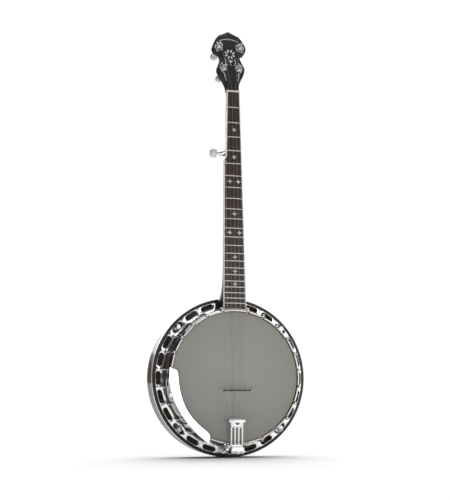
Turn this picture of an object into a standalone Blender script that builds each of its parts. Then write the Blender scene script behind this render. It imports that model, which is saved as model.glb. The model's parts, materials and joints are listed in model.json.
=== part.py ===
"""Five-string resonator banjo, standing upright with its neck along +Z and its front facing -Y.

The origin lies on the pot's axis, in the plane of the resonator's flat back. Depths are measured
backwards (+Y) from the playing surface of the drum head, and angles clockwise from the neck.
"""
import math

import bmesh
import bpy
from mathutils import Matrix, Vector

# ---- Driving dimensions, in metres ----
OVERALL_DEPTH = 0.113          # drum head to resonator back
HEAD_Y = -OVERALL_DEPTH
GAP = 0.0003                   # clearance between pieces that touch
RING_STEPS = 60                # facets of every turned ring, all in the same phase

HEAD_RADIUS = 0.1402           # eleven-inch drum head
FLESH_HOOP_RADIUS = 0.1442
FLESH_HOOP_DEPTHS = (0.0096, 0.0152)
MEMBRANE = 0.00035
RIM_RADIUS = 0.1395
RIM_BORE = 0.1210
RIM_BACK = 0.0720
RIM_SHELF, RIM_STEP = 0.0083, 0.0203   # front faces of the wood, inside and outside the tone ring's skirt
TONE_RING_SKIRT = 0.0030       # thickness of the skirt round the rim
HOOP_CLEARANCE = 0.0004        # radial play of the hoop and the flange
HOOP_NOTCH = (0.0078, 0.0072, 0.0100)  # tangential, depth and radial size of a hook's notch
HEEL_FRONT, HEEL_BACK = 0.0050, 0.0985 # depths that the heel's opening spans
HOOP_TOP = -0.0036             # the tension hoop stands proud of the drum head
HOOP_BOTTOM = 0.0175
HOOP_TOP_RADIUS = 0.1448
HOOP_RADIUS = 0.1462

FLANGE_FRONT = 0.0455
FLANGE_PLATE = 0.0026
FLANGE_BAND_BACK = 0.0496
FLANGE_BAND_RADIUS = 0.1536
FLANGE_RADIUS = 0.1657
SLOT_INNER, SLOT_OUTER = 0.15395, 0.16465
SLOT_HALF_ANGLE = 5.35
SLOT_FIRST, SLOT_STEP, SLOTS_PER_SIDE = 18.5, 14.45, 11

HOOKS_PER_SIDE = 12
HOOK_FIRST, HOOK_STEP = 11.5, 14.45
HOOK_CIRCLE = 0.1500
HOOK_ROD = 0.0022
HOOK_NUT = 0.0046

RESONATOR_RADIUS = 0.1723
RESONATOR_FRONT = 0.0463
RESONATOR_WALL_INSIDE = 0.1662
THUMB_SCREW_SLOTS = (2, 8)     # slots, counted from the neck, that a thumb screw goes through
THUMB_SCREW_CIRCLE = 0.1593
SCREW_SHANK = 0.0023

SCALE_LENGTH = 0.66675
FRETS = 22
NUT_HEIGHT = 0.6375            # nut above the pot's axis
NUT_DEPTH = 0.0254             # fingerboard surface at the nut, behind the head
NECK_PITCH = math.radians(3.0)
BOARD_LENGTH = 0.4930
BOARD_THICKNESS = 0.0055
BOARD_CENTRE_AT_NUT = 0.0057
BOARD_HALF_AT_NUT = 0.0145
BOARD_HALF_AT_END = 0.0256
SHELF = 0.1580                 # where the board widens for the fifth string, below the nut
FRET_HEIGHT, FRET_WIDTH = 0.0010, 0.0022
NUT_PROUD = 0.0014
NUT_THICKNESS = 0.0044

HEADSTOCK_PITCH = math.radians(15.0)
HEADSTOCK_THICKNESS = 0.0150
POSTS = ((-0.0170, 0.0550), (-0.0246, 0.1130), (0.0246, 0.1130), (0.0170, 0.0550))
POST_RADIUS = 0.0030
FIFTH_PEG = Vector((-0.0200, HEAD_Y + 0.0300, 0.4950))
FIFTH_POST_RADIUS = 0.0026

BRIDGE_HEIGHT = 0.0160
BRIDGE_Z = NUT_HEIGHT - SCALE_LENGTH
BRIDGE_SPACING = 0.0105
NUT_SPACING = 0.00767
STRING_RADIUS = 0.0003

TAIL_BAR_Z = -0.0935            # middle of the string bar
TAIL_BAR_SIZE = (0.0360, 0.0048, 0.0080)
TAIL_PLATE_TOP, TAIL_PLATE_END = -0.0940, -0.1500
TAIL_RAIL_Z = -0.1035
TAIL_BOLT_Z = -0.1605
ROD_DEPTH = 0.0588
ROD_RADIUS = 0.0040

CHROME = ("chrome", (0.80, 0.80, 0.79), 0.12, 1.0)
NICKEL = ("nickel", (0.62, 0.61, 0.58), 0.30, 1.0)
BRASS = ("bell_brass", (0.62, 0.50, 0.28), 0.35, 1.0)
MAPLE = ("stained_maple", (0.20, 0.09, 0.06), 0.25, 0.0)
MAHOGANY = ("mahogany", (0.17, 0.08, 0.06), 0.22, 0.0)
NECK_WOOD = ("dark_neck_wood", (0.035, 0.025, 0.025), 0.25, 0.0)
ROSEWOOD = ("rosewood", (0.06, 0.035, 0.035), 0.45, 0.0)
MEMBRANE_WHITE = ("frosted_membrane", (0.55, 0.56, 0.52), 0.60, 0.0)
BRIDGE_WOOD = ("bridge_maple", (0.60, 0.45, 0.30), 0.50, 0.0)
PEARL = ("pearloid", (0.75, 0.78, 0.72), 0.25, 0.0)
STEEL = ("string_steel", (0.60, 0.60, 0.60), 0.30, 1.0)


# ---- Helpers ----
def clear_scene():
    for old in list(bpy.data.objects):
        bpy.data.objects.remove(old, do_unlink=True)


def material(finish):
    name, colour, roughness, metallic = finish
    made = bpy.data.materials.get(name)
    if made is None:
        made = bpy.data.materials.new(name)
        made.use_nodes = True
        shader = made.node_tree.nodes["Principled BSDF"]
        shader.inputs["Base Color"].default_value = (*colour, 1.0)
        shader.inputs["Roughness"].default_value = roughness
        shader.inputs["Metallic"].default_value = metallic
    return made


def place(shape, name, finish, smooth_angle=30.0):
    """Turn a bmesh into a named object with its material, smooth on its round sides."""
    bmesh.ops.recalc_face_normals(shape, faces=shape.faces)
    mesh = bpy.data.meshes.new(name)
    shape.to_mesh(mesh)
    shape.free()
    mesh.shade_smooth()
    mesh.set_sharp_from_angle(angle=math.radians(smooth_angle))
    mesh.materials.append(material(finish))
    made = bpy.data.objects.new(name, mesh)
    bpy.context.scene.collection.objects.link(made)
    return made


def tool(shape, name):
    """A cutter or a piece to be joined: it is no part of the object itself."""
    made = place(shape, name, NICKEL)
    made.hide_render = True
    made.display_type = "WIRE"
    return made


def boolean(piece, other, operation):
    step = piece.modifiers.new(other.name, "BOOLEAN")
    step.operation = operation
    step.object = other
    step.solver = "EXACT"


def cut(piece, cutter):
    boolean(piece, cutter, "DIFFERENCE")


def join(piece, other):
    boolean(piece, other, "UNION")


def copies(name, mesh, places, parent=None, turn=(0, 0, 0)):
    """One object for each place, all sharing a mesh: NAME_1, NAME_2 and so on."""
    made = []
    for number, location in enumerate(places, start=1):
        copy = bpy.data.objects.new(f"{name}_{number}", mesh)
        bpy.context.scene.collection.objects.link(copy)
        copy.parent = parent
        copy.location = location
        copy.rotation_euler = turn
        made.append(copy)
    return made


def mesh_of(shape, name, finish):
    """A mesh for copies to share."""
    single = place(shape, name, finish)
    mesh = single.data
    bpy.data.objects.remove(single)
    return mesh


def on_circle(radius, degrees, depth):
    """A point on a circle about the pot's axis, at a depth behind the drum head."""
    angle = math.radians(degrees)
    return Vector((radius * math.sin(angle), HEAD_Y + depth, radius * math.cos(angle)))


def add_turned(shape, profile, closed=True):
    """Spin a (radius, depth) profile about the pot's axis; an open one starts and ends on it."""
    points = [shape.verts.new((0.0, HEAD_Y + depth, radius)) for radius, depth in profile]
    pairs = list(zip(points, points[1:]))
    if closed:
        pairs.append((points[-1], points[0]))
    edges = [shape.edges.new(pair) for pair in pairs]
    bmesh.ops.spin(shape, geom=points + edges, cent=(0, 0, 0), axis=(0, 1, 0),
                   dvec=(0, 0, 0), angle=math.tau, steps=RING_STEPS)
    bmesh.ops.remove_doubles(shape, verts=shape.verts, dist=1e-6)


def add_lathe(shape, profile, steps=12):
    """Spin an open (radius, height) profile about the local Z axis into a solid."""
    points = [shape.verts.new((radius, 0.0, height)) for radius, height in profile]
    edges = [shape.edges.new(pair) for pair in zip(points, points[1:])]
    bmesh.ops.spin(shape, geom=points + edges, cent=(0, 0, 0), axis=(0, 0, 1),
                   dvec=(0, 0, 0), angle=math.tau, steps=steps)
    bmesh.ops.remove_doubles(shape, verts=shape.verts, dist=1e-6)


def add_prism(shape, outline, depth_vector):
    """Extrude a closed planar outline along a vector."""
    face = shape.faces.new([shape.verts.new(point) for point in outline])
    grown = bmesh.ops.extrude_face_region(shape, geom=[face])["geom"]
    moved = [item for item in grown if isinstance(item, bmesh.types.BMVert)]
    bmesh.ops.translate(shape, verts=moved, vec=depth_vector)


def add_rod(shape, start, end, radius, sides=12):
    """A round or many-sided bar between two points."""
    start, end = Vector(start), Vector(end)
    axis = end - start
    turn = axis.to_track_quat("Z", "Y").to_matrix().to_4x4()
    bmesh.ops.create_cone(shape, cap_ends=True, segments=sides, radius1=radius, radius2=radius,
                          depth=axis.length, matrix=Matrix.Translation((start + end) / 2) @ turn)


def add_box(shape, centre, size, turn=Matrix.Identity(4)):
    scale = Matrix.Diagonal((*size, 1.0))
    bmesh.ops.create_cube(shape, size=1.0, matrix=Matrix.Translation(centre) @ turn @ scale)


def smooth_line(points, steps=2):
    """A Catmull-Rom line through the points, which keeps them and both ends."""
    padded = [points[0], *points, points[-1]]
    line = []
    for a, b, c, d in zip(padded, padded[1:], padded[2:], padded[3:]):
        a, b, c, d = (Vector(point) for point in (a, b, c, d))
        for step in range(steps):
            t = step / steps
            line.append(0.5 * (2 * b + (c - a) * t + (2 * a - 5 * b + 4 * c - d) * t * t
                               + (3 * b - a - 3 * c + d) * t * t * t))
    line.append(Vector(points[-1]))
    return line


def rod(start, end, radius, sides=12):
    shape = bmesh.new()
    add_rod(shape, start, end, radius, sides)
    return shape


def box(centre, size):
    shape = bmesh.new()
    add_box(shape, centre, size)
    return shape


def prism(outline, depth_vector):
    shape = bmesh.new()
    add_prism(shape, outline, depth_vector)
    return shape


def assemble(name, finish, solids, cuts=(), location=(0, 0, 0), turn=(0, 0, 0)):
    """Join overlapping solids into one piece and cut the rest out of it, all in one local frame."""
    piece = place(solids[0], name, finish)
    added = [tool(shape, f"{name}_add_{number}") for number, shape in enumerate(solids[1:], 1)]
    cutters = [tool(shape, f"{name}_cut_{number}") for number, shape in enumerate(cuts, 1)]
    for other in added:
        join(piece, other)
    for other in cutters:
        cut(piece, other)
    for each in (piece, *added, *cutters):
        each.location = location
        each.rotation_euler = turn
    return piece


def empty(name, location, tilt):
    """An upright-looking frame: X to the right, Y up the slope, Z out of its face."""
    made = bpy.data.objects.new(name, None)
    made.location = location
    made.rotation_euler = (math.pi / 2 - tilt, 0.0, 0.0)
    bpy.context.scene.collection.objects.link(made)
    return made


# ---- Pot: rim, tone ring, drum head, tension hoop, flange ----
def make_rim():
    seat = RIM_RADIUS - TONE_RING_SKIRT - GAP
    chamfer = 0.001
    shape = bmesh.new()
    add_turned(shape, [(RIM_BORE, RIM_SHELF), (seat, RIM_SHELF), (seat, RIM_STEP), (RIM_RADIUS, RIM_STEP),
                       (RIM_RADIUS, RIM_BACK - chamfer), (RIM_RADIUS - chamfer, RIM_BACK),
                       (RIM_BORE, RIM_BACK)])
    rim = place(shape, "rim", MAPLE)
    hole = bmesh.new()
    centre = HEAD_Y + ROD_DEPTH
    add_rod(hole, (0, centre, -0.160), (0, centre, 0.160), ROD_RADIUS + GAP, 12)
    cut(rim, tool(hole, "rim_rod_hole"))


def make_tone_ring():
    shape = bmesh.new()
    inner = RIM_RADIUS - TONE_RING_SKIRT
    skirt_end, shelf_back = RIM_STEP - GAP, RIM_SHELF - GAP
    crest = MEMBRANE + GAP
    add_turned(shape, [(RIM_RADIUS, crest + 0.0004), (RIM_RADIUS, skirt_end), (inner, skirt_end),
                       (inner, shelf_back), (RIM_BORE, shelf_back), (RIM_BORE, 0.0050),
                       (0.1320, 0.0040), (0.1342, crest)])
    place(shape, "tone_ring", BRASS)


def make_drum_head():
    """A polyester membrane whose collar is crimped into its flesh hoop."""
    front, back = FLESH_HOOP_DEPTHS
    inside = HEAD_RADIUS - MEMBRANE
    shape = bmesh.new()
    add_turned(shape, [(0, 0), (HEAD_RADIUS - 0.0004, 0), (HEAD_RADIUS, 0.0004),
                       (HEAD_RADIUS, front), (FLESH_HOOP_RADIUS, front),
                       (FLESH_HOOP_RADIUS, back), (inside, back), (inside, MEMBRANE),
                       (0, MEMBRANE)], closed=False)
    place(shape, "drum_head", MEMBRANE_WHITE)


def hook_angles():
    return [side * (HOOK_FIRST + HOOK_STEP * index)
            for side in (1, -1) for index in range(HOOKS_PER_SIDE)]


def make_tension_hoop():
    inner = HEAD_RADIUS + HOOP_CLEARANCE
    ledge = FLESH_HOOP_DEPTHS[0] - GAP
    skirt = FLESH_HOOP_RADIUS + HOOP_CLEARANCE
    shape = bmesh.new()
    add_turned(shape, [(inner, HOOP_TOP), (HOOP_TOP_RADIUS, HOOP_TOP), (HOOP_TOP_RADIUS, ledge - 0.002),
                       (HOOP_RADIUS, ledge), (HOOP_RADIUS, HOOP_BOTTOM), (skirt, HOOP_BOTTOM),
                       (skirt, ledge), (inner, ledge)])
    hoop = place(shape, "tension_hoop", CHROME)
    notches = bmesh.new()
    for degrees in hook_angles():
        turn = Matrix.Rotation(math.radians(degrees), 4, "Y")
        add_box(notches, on_circle(0.1430, degrees, -0.0024), HOOP_NOTCH, turn)
    cut(hoop, tool(notches, "hoop_notches"))


def slot_angles():
    sides = [side * (SLOT_FIRST + SLOT_STEP * index)
             for side in (1, -1) for index in range(SLOTS_PER_SIDE)]
    return [*sides, 180.0]


def add_slot(shape, degrees):
    """A round-ended slot that follows the flange's curve."""
    middle = (SLOT_INNER + SLOT_OUTER) / 2
    half = (SLOT_OUTER - SLOT_INNER) / 2
    straight = SLOT_HALF_ANGLE - math.degrees(half / middle)
    outline = []
    for side, start in ((1, -90), (-1, 90)):
        for step in range(5):
            bend = math.radians(start + 45 * step)
            swing = side * straight + math.degrees(half * math.cos(bend) / middle)
            outline.append(on_circle(middle + half * math.sin(bend), degrees + swing, FLANGE_FRONT - 0.004))
    add_prism(shape, outline, (0, 0.016, 0))


def heel_opening(z, steps=12):
    """The half-ellipse cut for the neck's heel, seen along the neck, flat side to the front."""
    half_width = BOARD_HALF_AT_END + 2 * GAP
    depth = HEEL_BACK - HEEL_FRONT
    return [Vector((half_width * math.cos(math.pi * step / steps),
                    HEAD_Y + HEEL_FRONT + depth * math.sin(math.pi * step / steps), z))
            for step in range(steps + 1)]


def make_flange():
    plate_back = FLANGE_FRONT + FLANGE_PLATE
    inner = RIM_RADIUS + HOOP_CLEARANCE
    shape = bmesh.new()
    add_turned(shape, [(inner, FLANGE_FRONT), (FLANGE_RADIUS, FLANGE_FRONT), (FLANGE_RADIUS, plate_back),
                       (FLANGE_BAND_RADIUS, plate_back), (FLANGE_BAND_RADIUS, FLANGE_BAND_BACK),
                       (inner, FLANGE_BAND_BACK)])
    flange = place(shape, "flange", CHROME)
    openings = bmesh.new()
    for degrees in slot_angles():
        add_slot(openings, degrees)
    for degrees in hook_angles():
        add_rod(openings, on_circle(HOOK_CIRCLE, degrees, FLANGE_FRONT - 0.003),
                on_circle(HOOK_CIRCLE, degrees, FLANGE_BAND_BACK + 0.003), HOOK_ROD + 2 * GAP, 6)
    add_prism(openings, heel_opening(0.1555), (0, 0, 0.020))
    cut(flange, tool(openings, "flange_openings"))


def make_hooks():
    """Each bracket hook: a claw in the hoop's notch, a rod through the flange and its tube nut."""
    claw_half = 0.00275
    claw = [(0.1414, 0.0009), (0.1414, -0.0022), (0.1426, -0.0034), (0.1488, -0.0034),
            (0.1516, -0.0014), (0.1520, 0.0060), (0.1480, 0.0060), (0.1480, 0.0009)]
    nut_front = FLANGE_BAND_BACK + GAP
    nut_long, rod_past_nut = 0.0115, 0.0015
    for number, degrees in enumerate(hook_angles(), start=1):
        name = f"hook_{number:02d}"
        across = Matrix.Rotation(math.radians(degrees), 3, "Y") @ Vector((claw_half, 0, 0))
        shape = bmesh.new()
        add_prism(shape, [on_circle(radius, degrees, depth) - across for radius, depth in claw], 2 * across)
        hook = place(shape, name, CHROME)
        rod = bmesh.new()
        add_rod(rod, on_circle(HOOK_CIRCLE, degrees, 0.0035),
                on_circle(HOOK_CIRCLE, degrees, nut_front + nut_long + rod_past_nut), HOOK_ROD, 6)
        join(hook, tool(rod, f"{name}_rod"))
        nut = bmesh.new()
        add_rod(nut, on_circle(HOOK_CIRCLE, degrees, nut_front),
                on_circle(HOOK_CIRCLE, degrees, nut_front + nut_long), HOOK_NUT, 6)
        join(hook, tool(nut, f"{name}_nut"))


# ---- Resonator and its thumb screws ----
def thumb_screw_angles():
    first, second = (SLOT_FIRST + SLOT_STEP * slot for slot in THUMB_SCREW_SLOTS)
    return [first, second, -second, -first]


def make_resonator():
    """A bowl with a dished back, notched for the heel, with four lugs for the thumb screws."""
    wall = RESONATOR_WALL_INSIDE
    shape = bmesh.new()
    add_turned(shape, [(0, OVERALL_DEPTH), (0.060, OVERALL_DEPTH), (0.130, OVERALL_DEPTH - 0.0014),
                       (0.1690, 0.1096), (0.1708, 0.1065), (0.1708, 0.0610),
                       (RESONATOR_RADIUS, 0.0530), (RESONATOR_RADIUS, RESONATOR_FRONT),
                       (wall, RESONATOR_FRONT), (wall, 0.0940), (0.1620, 0.1030),
                       (0.060, 0.1074), (0, 0.1074)], closed=False)
    resonator = place(shape, "resonator", MAHOGANY)
    lugs = bmesh.new()
    lug_depth, lug_size = 0.0575, (0.0160, 0.0030, 0.0170)
    for degrees in thumb_screw_angles():
        turn = Matrix.Rotation(math.radians(degrees), 4, "Y")
        add_box(lugs, on_circle(0.1605, degrees, lug_depth), lug_size, turn)
    join(resonator, tool(lugs, "resonator_lugs"))
    openings = bmesh.new()
    add_prism(openings, heel_opening(0.1400), (0, 0, 0.045))
    for degrees in thumb_screw_angles():
        add_rod(openings, on_circle(THUMB_SCREW_CIRCLE, degrees, lug_depth - 0.0055),
                on_circle(THUMB_SCREW_CIRCLE, degrees, lug_depth + 0.0055), SCREW_SHANK + GAP)
    cut(resonator, tool(openings, "resonator_openings"))


def make_thumb_screws():
    """Knurled head, washer and shank in one, turned about its own axis, head to the front."""
    shape = bmesh.new()
    add_lathe(shape, [(0, -0.0210), (SCREW_SHANK, -0.0210), (SCREW_SHANK, GAP), (0.0080, GAP),
                      (0.0080, 0.0020), (0.0065, 0.0024), (0.0065, 0.0096), (0, 0.0096)])
    places = [on_circle(THUMB_SCREW_CIRCLE, degrees, FLANGE_FRONT) for degrees in thumb_screw_angles()]
    copies("thumb_screw", mesh_of(shape, "thumb_screw", CHROME), places, turn=(math.pi / 2, 0, 0))


# ---- Neck, headstock and fingerboard ----
def board_frame():
    """Origin where the fingerboard's surface meets the nut, Y up the neck, Z out of the surface."""
    return empty("board_frame", (0, HEAD_Y + NUT_DEPTH, NUT_HEIGHT), NECK_PITCH)


def headstock_frame():
    """Origin just above the nut, Y up the headstock, Z out of its face."""
    location = (BOARD_CENTRE_AT_NUT, HEAD_Y + NUT_DEPTH + 0.0035, NUT_HEIGHT + 0.0035)
    return empty("headstock_frame", location, HEADSTOCK_PITCH)


def board_depth(z):
    """Depth of the fingerboard's surface at a height z."""
    return NUT_DEPTH - (NUT_HEIGHT - z) * math.tan(NECK_PITCH)


def board_edges(below_nut):
    """The fingerboard's left and right edge at a distance below the nut."""
    part = below_nut / BOARD_LENGTH
    right = BOARD_CENTRE_AT_NUT + BOARD_HALF_AT_NUT
    right += part * (BOARD_HALF_AT_END - right)
    if below_nut >= SHELF:
        left = -(0.0180 + (BOARD_HALF_AT_END - 0.0180) * (below_nut - SHELF) / (BOARD_LENGTH - SHELF))
    else:
        left = BOARD_CENTRE_AT_NUT - BOARD_HALF_AT_NUT
        left -= 0.0050 * below_nut / SHELF
    return left, right


def headstock_outline():
    """Half of the headstock's outline as (half width, height) points, mirrored to the left."""
    lower = [(0.0142, 0.0015), (0.0155, 0.0140), (0.0200, 0.0255), (0.0275, 0.0400),
             (0.0318, 0.0570), (0.0262, 0.0730), (0.0226, 0.0850), (0.0250, 0.0950)]
    curl = [(0.0250, 0.0950), (0.0312, 0.0966), (0.0358, 0.1005), (0.0385, 0.1085),
            (0.0384, 0.1160), (0.0318, 0.1310), (0.0235, 0.1420)]
    tip = [(0.0235, 0.1420), (0.0100, 0.1485), (0.0, 0.1540)]
    half = []
    for section in (lower, curl, tip):
        half += smooth_line([(x, y, 0) for x, y in section])[:-1]
    half.append(Vector((0, tip[-1][1], 0)))
    return half + [Vector((-point.x, point.y, 0)) for point in reversed(half[:-1])]


def add_loft(shape, stations, sides=12):
    """Skin half-elliptical sections, each (z, top depth, depth, left, right), into one solid."""
    rings = []
    for z, top, deep, left, right in stations:
        centre, half = (left + right) / 2, (right - left) / 2
        rings.append([shape.verts.new((centre + half * math.cos(math.pi * step / sides),
                                       HEAD_Y + top + deep * math.sin(math.pi * step / sides), z))
                      for step in range(sides + 1)])
    for lower, upper in zip(rings, rings[1:]):
        for index in range(sides + 1):
            other = (index + 1) % (sides + 1)
            shape.faces.new((lower[index], lower[other], upper[other], upper[index]))
    shape.faces.new(rings[0])
    shape.faces.new(rings[-1])


def neck_stations():
    """Sections from the heel, inside the rim's line, to the root of the headstock."""
    thickness = [(0.1300, 0.0920), (0.1500, 0.0920), (0.1640, 0.0890), (0.1720, 0.0800),
                 (0.1790, 0.0660), (0.1880, 0.0520), (0.2000, 0.0400), (0.2180, 0.0300),
                 (0.2450, 0.0240), (0.3000, 0.0215), (0.4000, 0.0205), (0.4700, 0.0200),
                 (0.4790, 0.0200), (0.4850, 0.0198), (0.5600, 0.0190), (0.6375, 0.0180)]
    stations = []
    for z, deep in thickness:
        left, right = board_edges(min(NUT_HEIGHT - z, BOARD_LENGTH))
        stations.append((z, board_depth(z) + BOARD_THICKNESS + GAP, deep, left, right))
    nut_left, nut_right = board_edges(0)
    top = stations[-1][1]
    stations.append((NUT_HEIGHT + 0.0105, top + 0.0030, 0.0160, nut_left + 0.0005, nut_right - 0.0005))
    stations.append((NUT_HEIGHT + 0.0260, top + 0.0095, 0.0070, nut_left + 0.003, nut_right - 0.003))
    return stations


def make_neck(headstock):
    """Heel, shaft and headstock of one piece of wood, cut to clear the pot and bored."""
    shape = bmesh.new()
    add_loft(shape, neck_stations())
    neck = place(shape, "neck", NECK_WOOD)
    head_shape = bmesh.new()
    add_prism(head_shape, headstock_outline(), (0, 0, -HEADSTOCK_THICKNESS))
    head_piece = tool(head_shape, "headstock_blank")
    head_piece.parent = headstock
    join(neck, head_piece)
    pot = bmesh.new()
    clear = 2 * GAP
    add_turned(pot, [(0, -0.03), (HOOP_RADIUS + clear, -0.03), (HOOP_RADIUS + clear, HOOP_BOTTOM + clear),
                     (RIM_RADIUS + clear, HOOP_BOTTOM + clear), (RIM_RADIUS + clear, FLANGE_FRONT - clear),
                     (0.1580, FLANGE_FRONT - clear), (0.1580, FLANGE_BAND_BACK + clear),
                     (RIM_RADIUS + clear, FLANGE_BAND_BACK + clear), (RIM_RADIUS + clear, 0.12),
                     (0, 0.12)], closed=False)
    cut(neck, tool(pot, "pot_clearance"))
    bores = bmesh.new()
    add_rod(bores, (0, HEAD_Y + ROD_DEPTH, 0.130), (0, HEAD_Y + ROD_DEPTH, 0.1545), ROD_RADIUS + GAP, 12)
    add_rod(bores, FIFTH_PEG, FIFTH_PEG + Vector((0.0165, 0, 0)), 0.0030, 10)
    cut(neck, tool(bores, "neck_bores"))
    tuner_holes = bmesh.new()
    for x, y in POSTS:
        add_rod(tuner_holes, (x, y, -0.020), (x, y, 0.005), 0.0050, 16)
    holes = tool(tuner_holes, "tuner_holes")
    holes.parent = headstock
    cut(neck, holes)


def fret_distance(number):
    return SCALE_LENGTH * (1 - 2 ** (-number / 12))


def make_fingerboard(frame):
    """The board with its frets and the nut glued at its end; its low end follows the hoop."""
    arc = HOOP_TOP_RADIUS + 2 * GAP
    spread = math.degrees(math.asin(BOARD_HALF_AT_END / arc))
    low_end = []
    for step in range(7):
        point = on_circle(arc, spread * (1 - step / 3), 0)
        low_end.append(Vector((point.x, (point.z - NUT_HEIGHT) / math.cos(NECK_PITCH), 0)))
    left_nut, right_nut = board_edges(0)
    above_shelf = board_edges(SHELF - 0.006)[0]
    shelf = board_edges(SHELF)[0]
    outline = [Vector((right_nut, 0, 0)), *low_end, Vector((shelf, -SHELF, 0)),
               Vector(((shelf + above_shelf) / 2 - 0.0008, 0.0015 - SHELF, 0)),
               Vector((above_shelf, 0.006 - SHELF, 0)), Vector((left_nut, 0, 0))]
    shape = bmesh.new()
    add_prism(shape, outline, (0, 0, -BOARD_THICKNESS))
    board = place(shape, "fingerboard", ROSEWOOD)
    board.parent = frame
    extras = bmesh.new()
    for number in range(1, FRETS + 1):
        down = fret_distance(number)
        left, right = board_edges(down)
        add_box(extras, ((left + right) / 2, -down, 0), (right - left - 0.0006, FRET_WIDTH, 2 * FRET_HEIGHT))
    nut_tall = BOARD_THICKNESS + NUT_PROUD
    add_box(extras, ((left_nut + right_nut) / 2, NUT_THICKNESS / 2 - 0.0002, NUT_PROUD - nut_tall / 2),
            (right_nut - left_nut, NUT_THICKNESS, nut_tall))
    pip = string_line(5)[1]
    local = frame_matrix(frame).inverted() @ pip
    add_rod(extras, (local.x, local.y, -0.001), (local.x, local.y, local.z - STRING_RADIUS - GAP), 0.0013, 8)
    fittings = tool(extras, "frets_and_nut")
    fittings.parent = frame
    join(board, fittings)


def frame_matrix(frame):
    return Matrix.Translation(frame.location) @ frame.rotation_euler.to_matrix().to_4x4()


# ---- Tuners ----
def make_tuners(headstock):
    """Four planetary pegs: a case through the headstock, a post in front and a button behind."""
    back = -HEADSTOCK_THICKNESS - GAP
    bore = POST_RADIUS + GAP
    case = bmesh.new()
    add_lathe(case, [(bore, 0.0030), (0.0060, 0.0030), (0.0064, GAP), (0.0047, GAP),
                     (0.0047, back), (0.0086, back), (0.0086, back - 0.0120), (0.0070, back - 0.0165),
                     (0.0048, back - 0.0185), (bore, back - 0.0185), (bore, 0.0030)])
    post = bmesh.new()
    post_end = back - 0.0060
    add_lathe(post, [(0, post_end), (POST_RADIUS, post_end), (POST_RADIUS, 0.0060), (0.0024, 0.0080),
                     (0.0024, 0.0095), (0.0030, 0.0120), (0.0030, 0.0160), (0, 0.0160)], steps=10)
    button = bmesh.new()
    top = back - 0.0225
    add_lathe(button, [(0, post_end - 0.0010), (0.0026, post_end - 0.0010), (0.0026, top),
                       (0.0060, top), (0.0082, top - 0.0030), (0.0086, top - 0.0080),
                       (0.0078, top - 0.0130), (0.0045, top - 0.0155), (0, top - 0.0155)])
    places = [(x, y, 0) for x, y in POSTS]
    copies("tuner_case", mesh_of(case, "tuner_case", CHROME), places, headstock)
    copies("tuner_post", mesh_of(post, "tuner_post", CHROME), places, headstock)
    copies("tuner_button", mesh_of(button, "tuner_button", PEARL), places, headstock)


def make_fifth_peg():
    """A geared peg in the neck's side: its button turns about X and its post about Y."""
    gear_case = rod((-0.0065, 0, 0), (0.0062, 0, 0), 0.0068, 16)
    pin = rod((-0.0050, 0, 0), (0.0155, 0, 0), 0.0027)
    neck_ring = rod((-0.0105, 0, 0), (-0.0060, 0, 0), 0.0045)
    boss = rod((0, 0, 0), (0, -0.0090, 0), 0.0046)
    post_bore = rod((0, 0.0030, 0), (0, -0.0120, 0), FIFTH_POST_RADIUS + GAP)
    shaft_bore = rod((-0.0130, 0, 0), (-0.0035, 0, 0), 0.0023)
    assemble("fifth_peg_case", CHROME, [gear_case, pin, neck_ring, boss], [post_bore, shaft_bore],
             location=FIFTH_PEG)
    post = bmesh.new()
    add_lathe(post, [(0, -0.0020), (FIFTH_POST_RADIUS, -0.0020), (FIFTH_POST_RADIUS, 0.0130),
                     (0.0020, 0.0145), (0.0020, 0.0155), (0.0026, 0.0175), (0.0026, 0.0200),
                     (0, 0.0200)], steps=10)
    assemble("fifth_peg_post", CHROME, [post], location=FIFTH_PEG, turn=(math.pi / 2, 0, 0))
    button = bmesh.new()
    add_lathe(button, [(0, 0.0042), (0.0020, 0.0042), (0.0020, 0.0112), (0.0060, 0.0112),
                       (0.0098, 0.0140), (0.0112, 0.0190), (0.0104, 0.0245), (0.0060, 0.0285),
                       (0, 0.0285)])
    assemble("fifth_peg_button", PEARL, [button], location=FIFTH_PEG, turn=(0, -math.pi / 2, 0))


# ---- Bridge, tailpiece, armrest, coordinator rod ----
def make_bridge():
    """Three feet and two arches, thinner at the top, standing on the drum head."""
    half = [(0.0050, -GAP), (0.0068, -0.0060), (0.0120, -0.0095), (0.0200, -0.0095),
            (0.0262, -0.0060), (0.0290, -GAP), (0.0385, -GAP), (0.0380, -0.0030), (0.0330, -0.0095),
            (0.0310, -BRIDGE_HEIGHT)]
    whole = half + [(-x, depth) for x, depth in reversed(half)]
    thick = 0.0055
    shape = prism([Vector((x, HEAD_Y + depth, BRIDGE_Z - thick / 2)) for x, depth in whole],
                  (0, 0, thick))
    for vert in shape.verts:
        taper = 1 - 0.5 * (HEAD_Y - vert.co.y) / BRIDGE_HEIGHT
        vert.co.z = BRIDGE_Z + (vert.co.z - BRIDGE_Z) * taper
    place(shape, "bridge", BRIDGE_WOOD)


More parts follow.
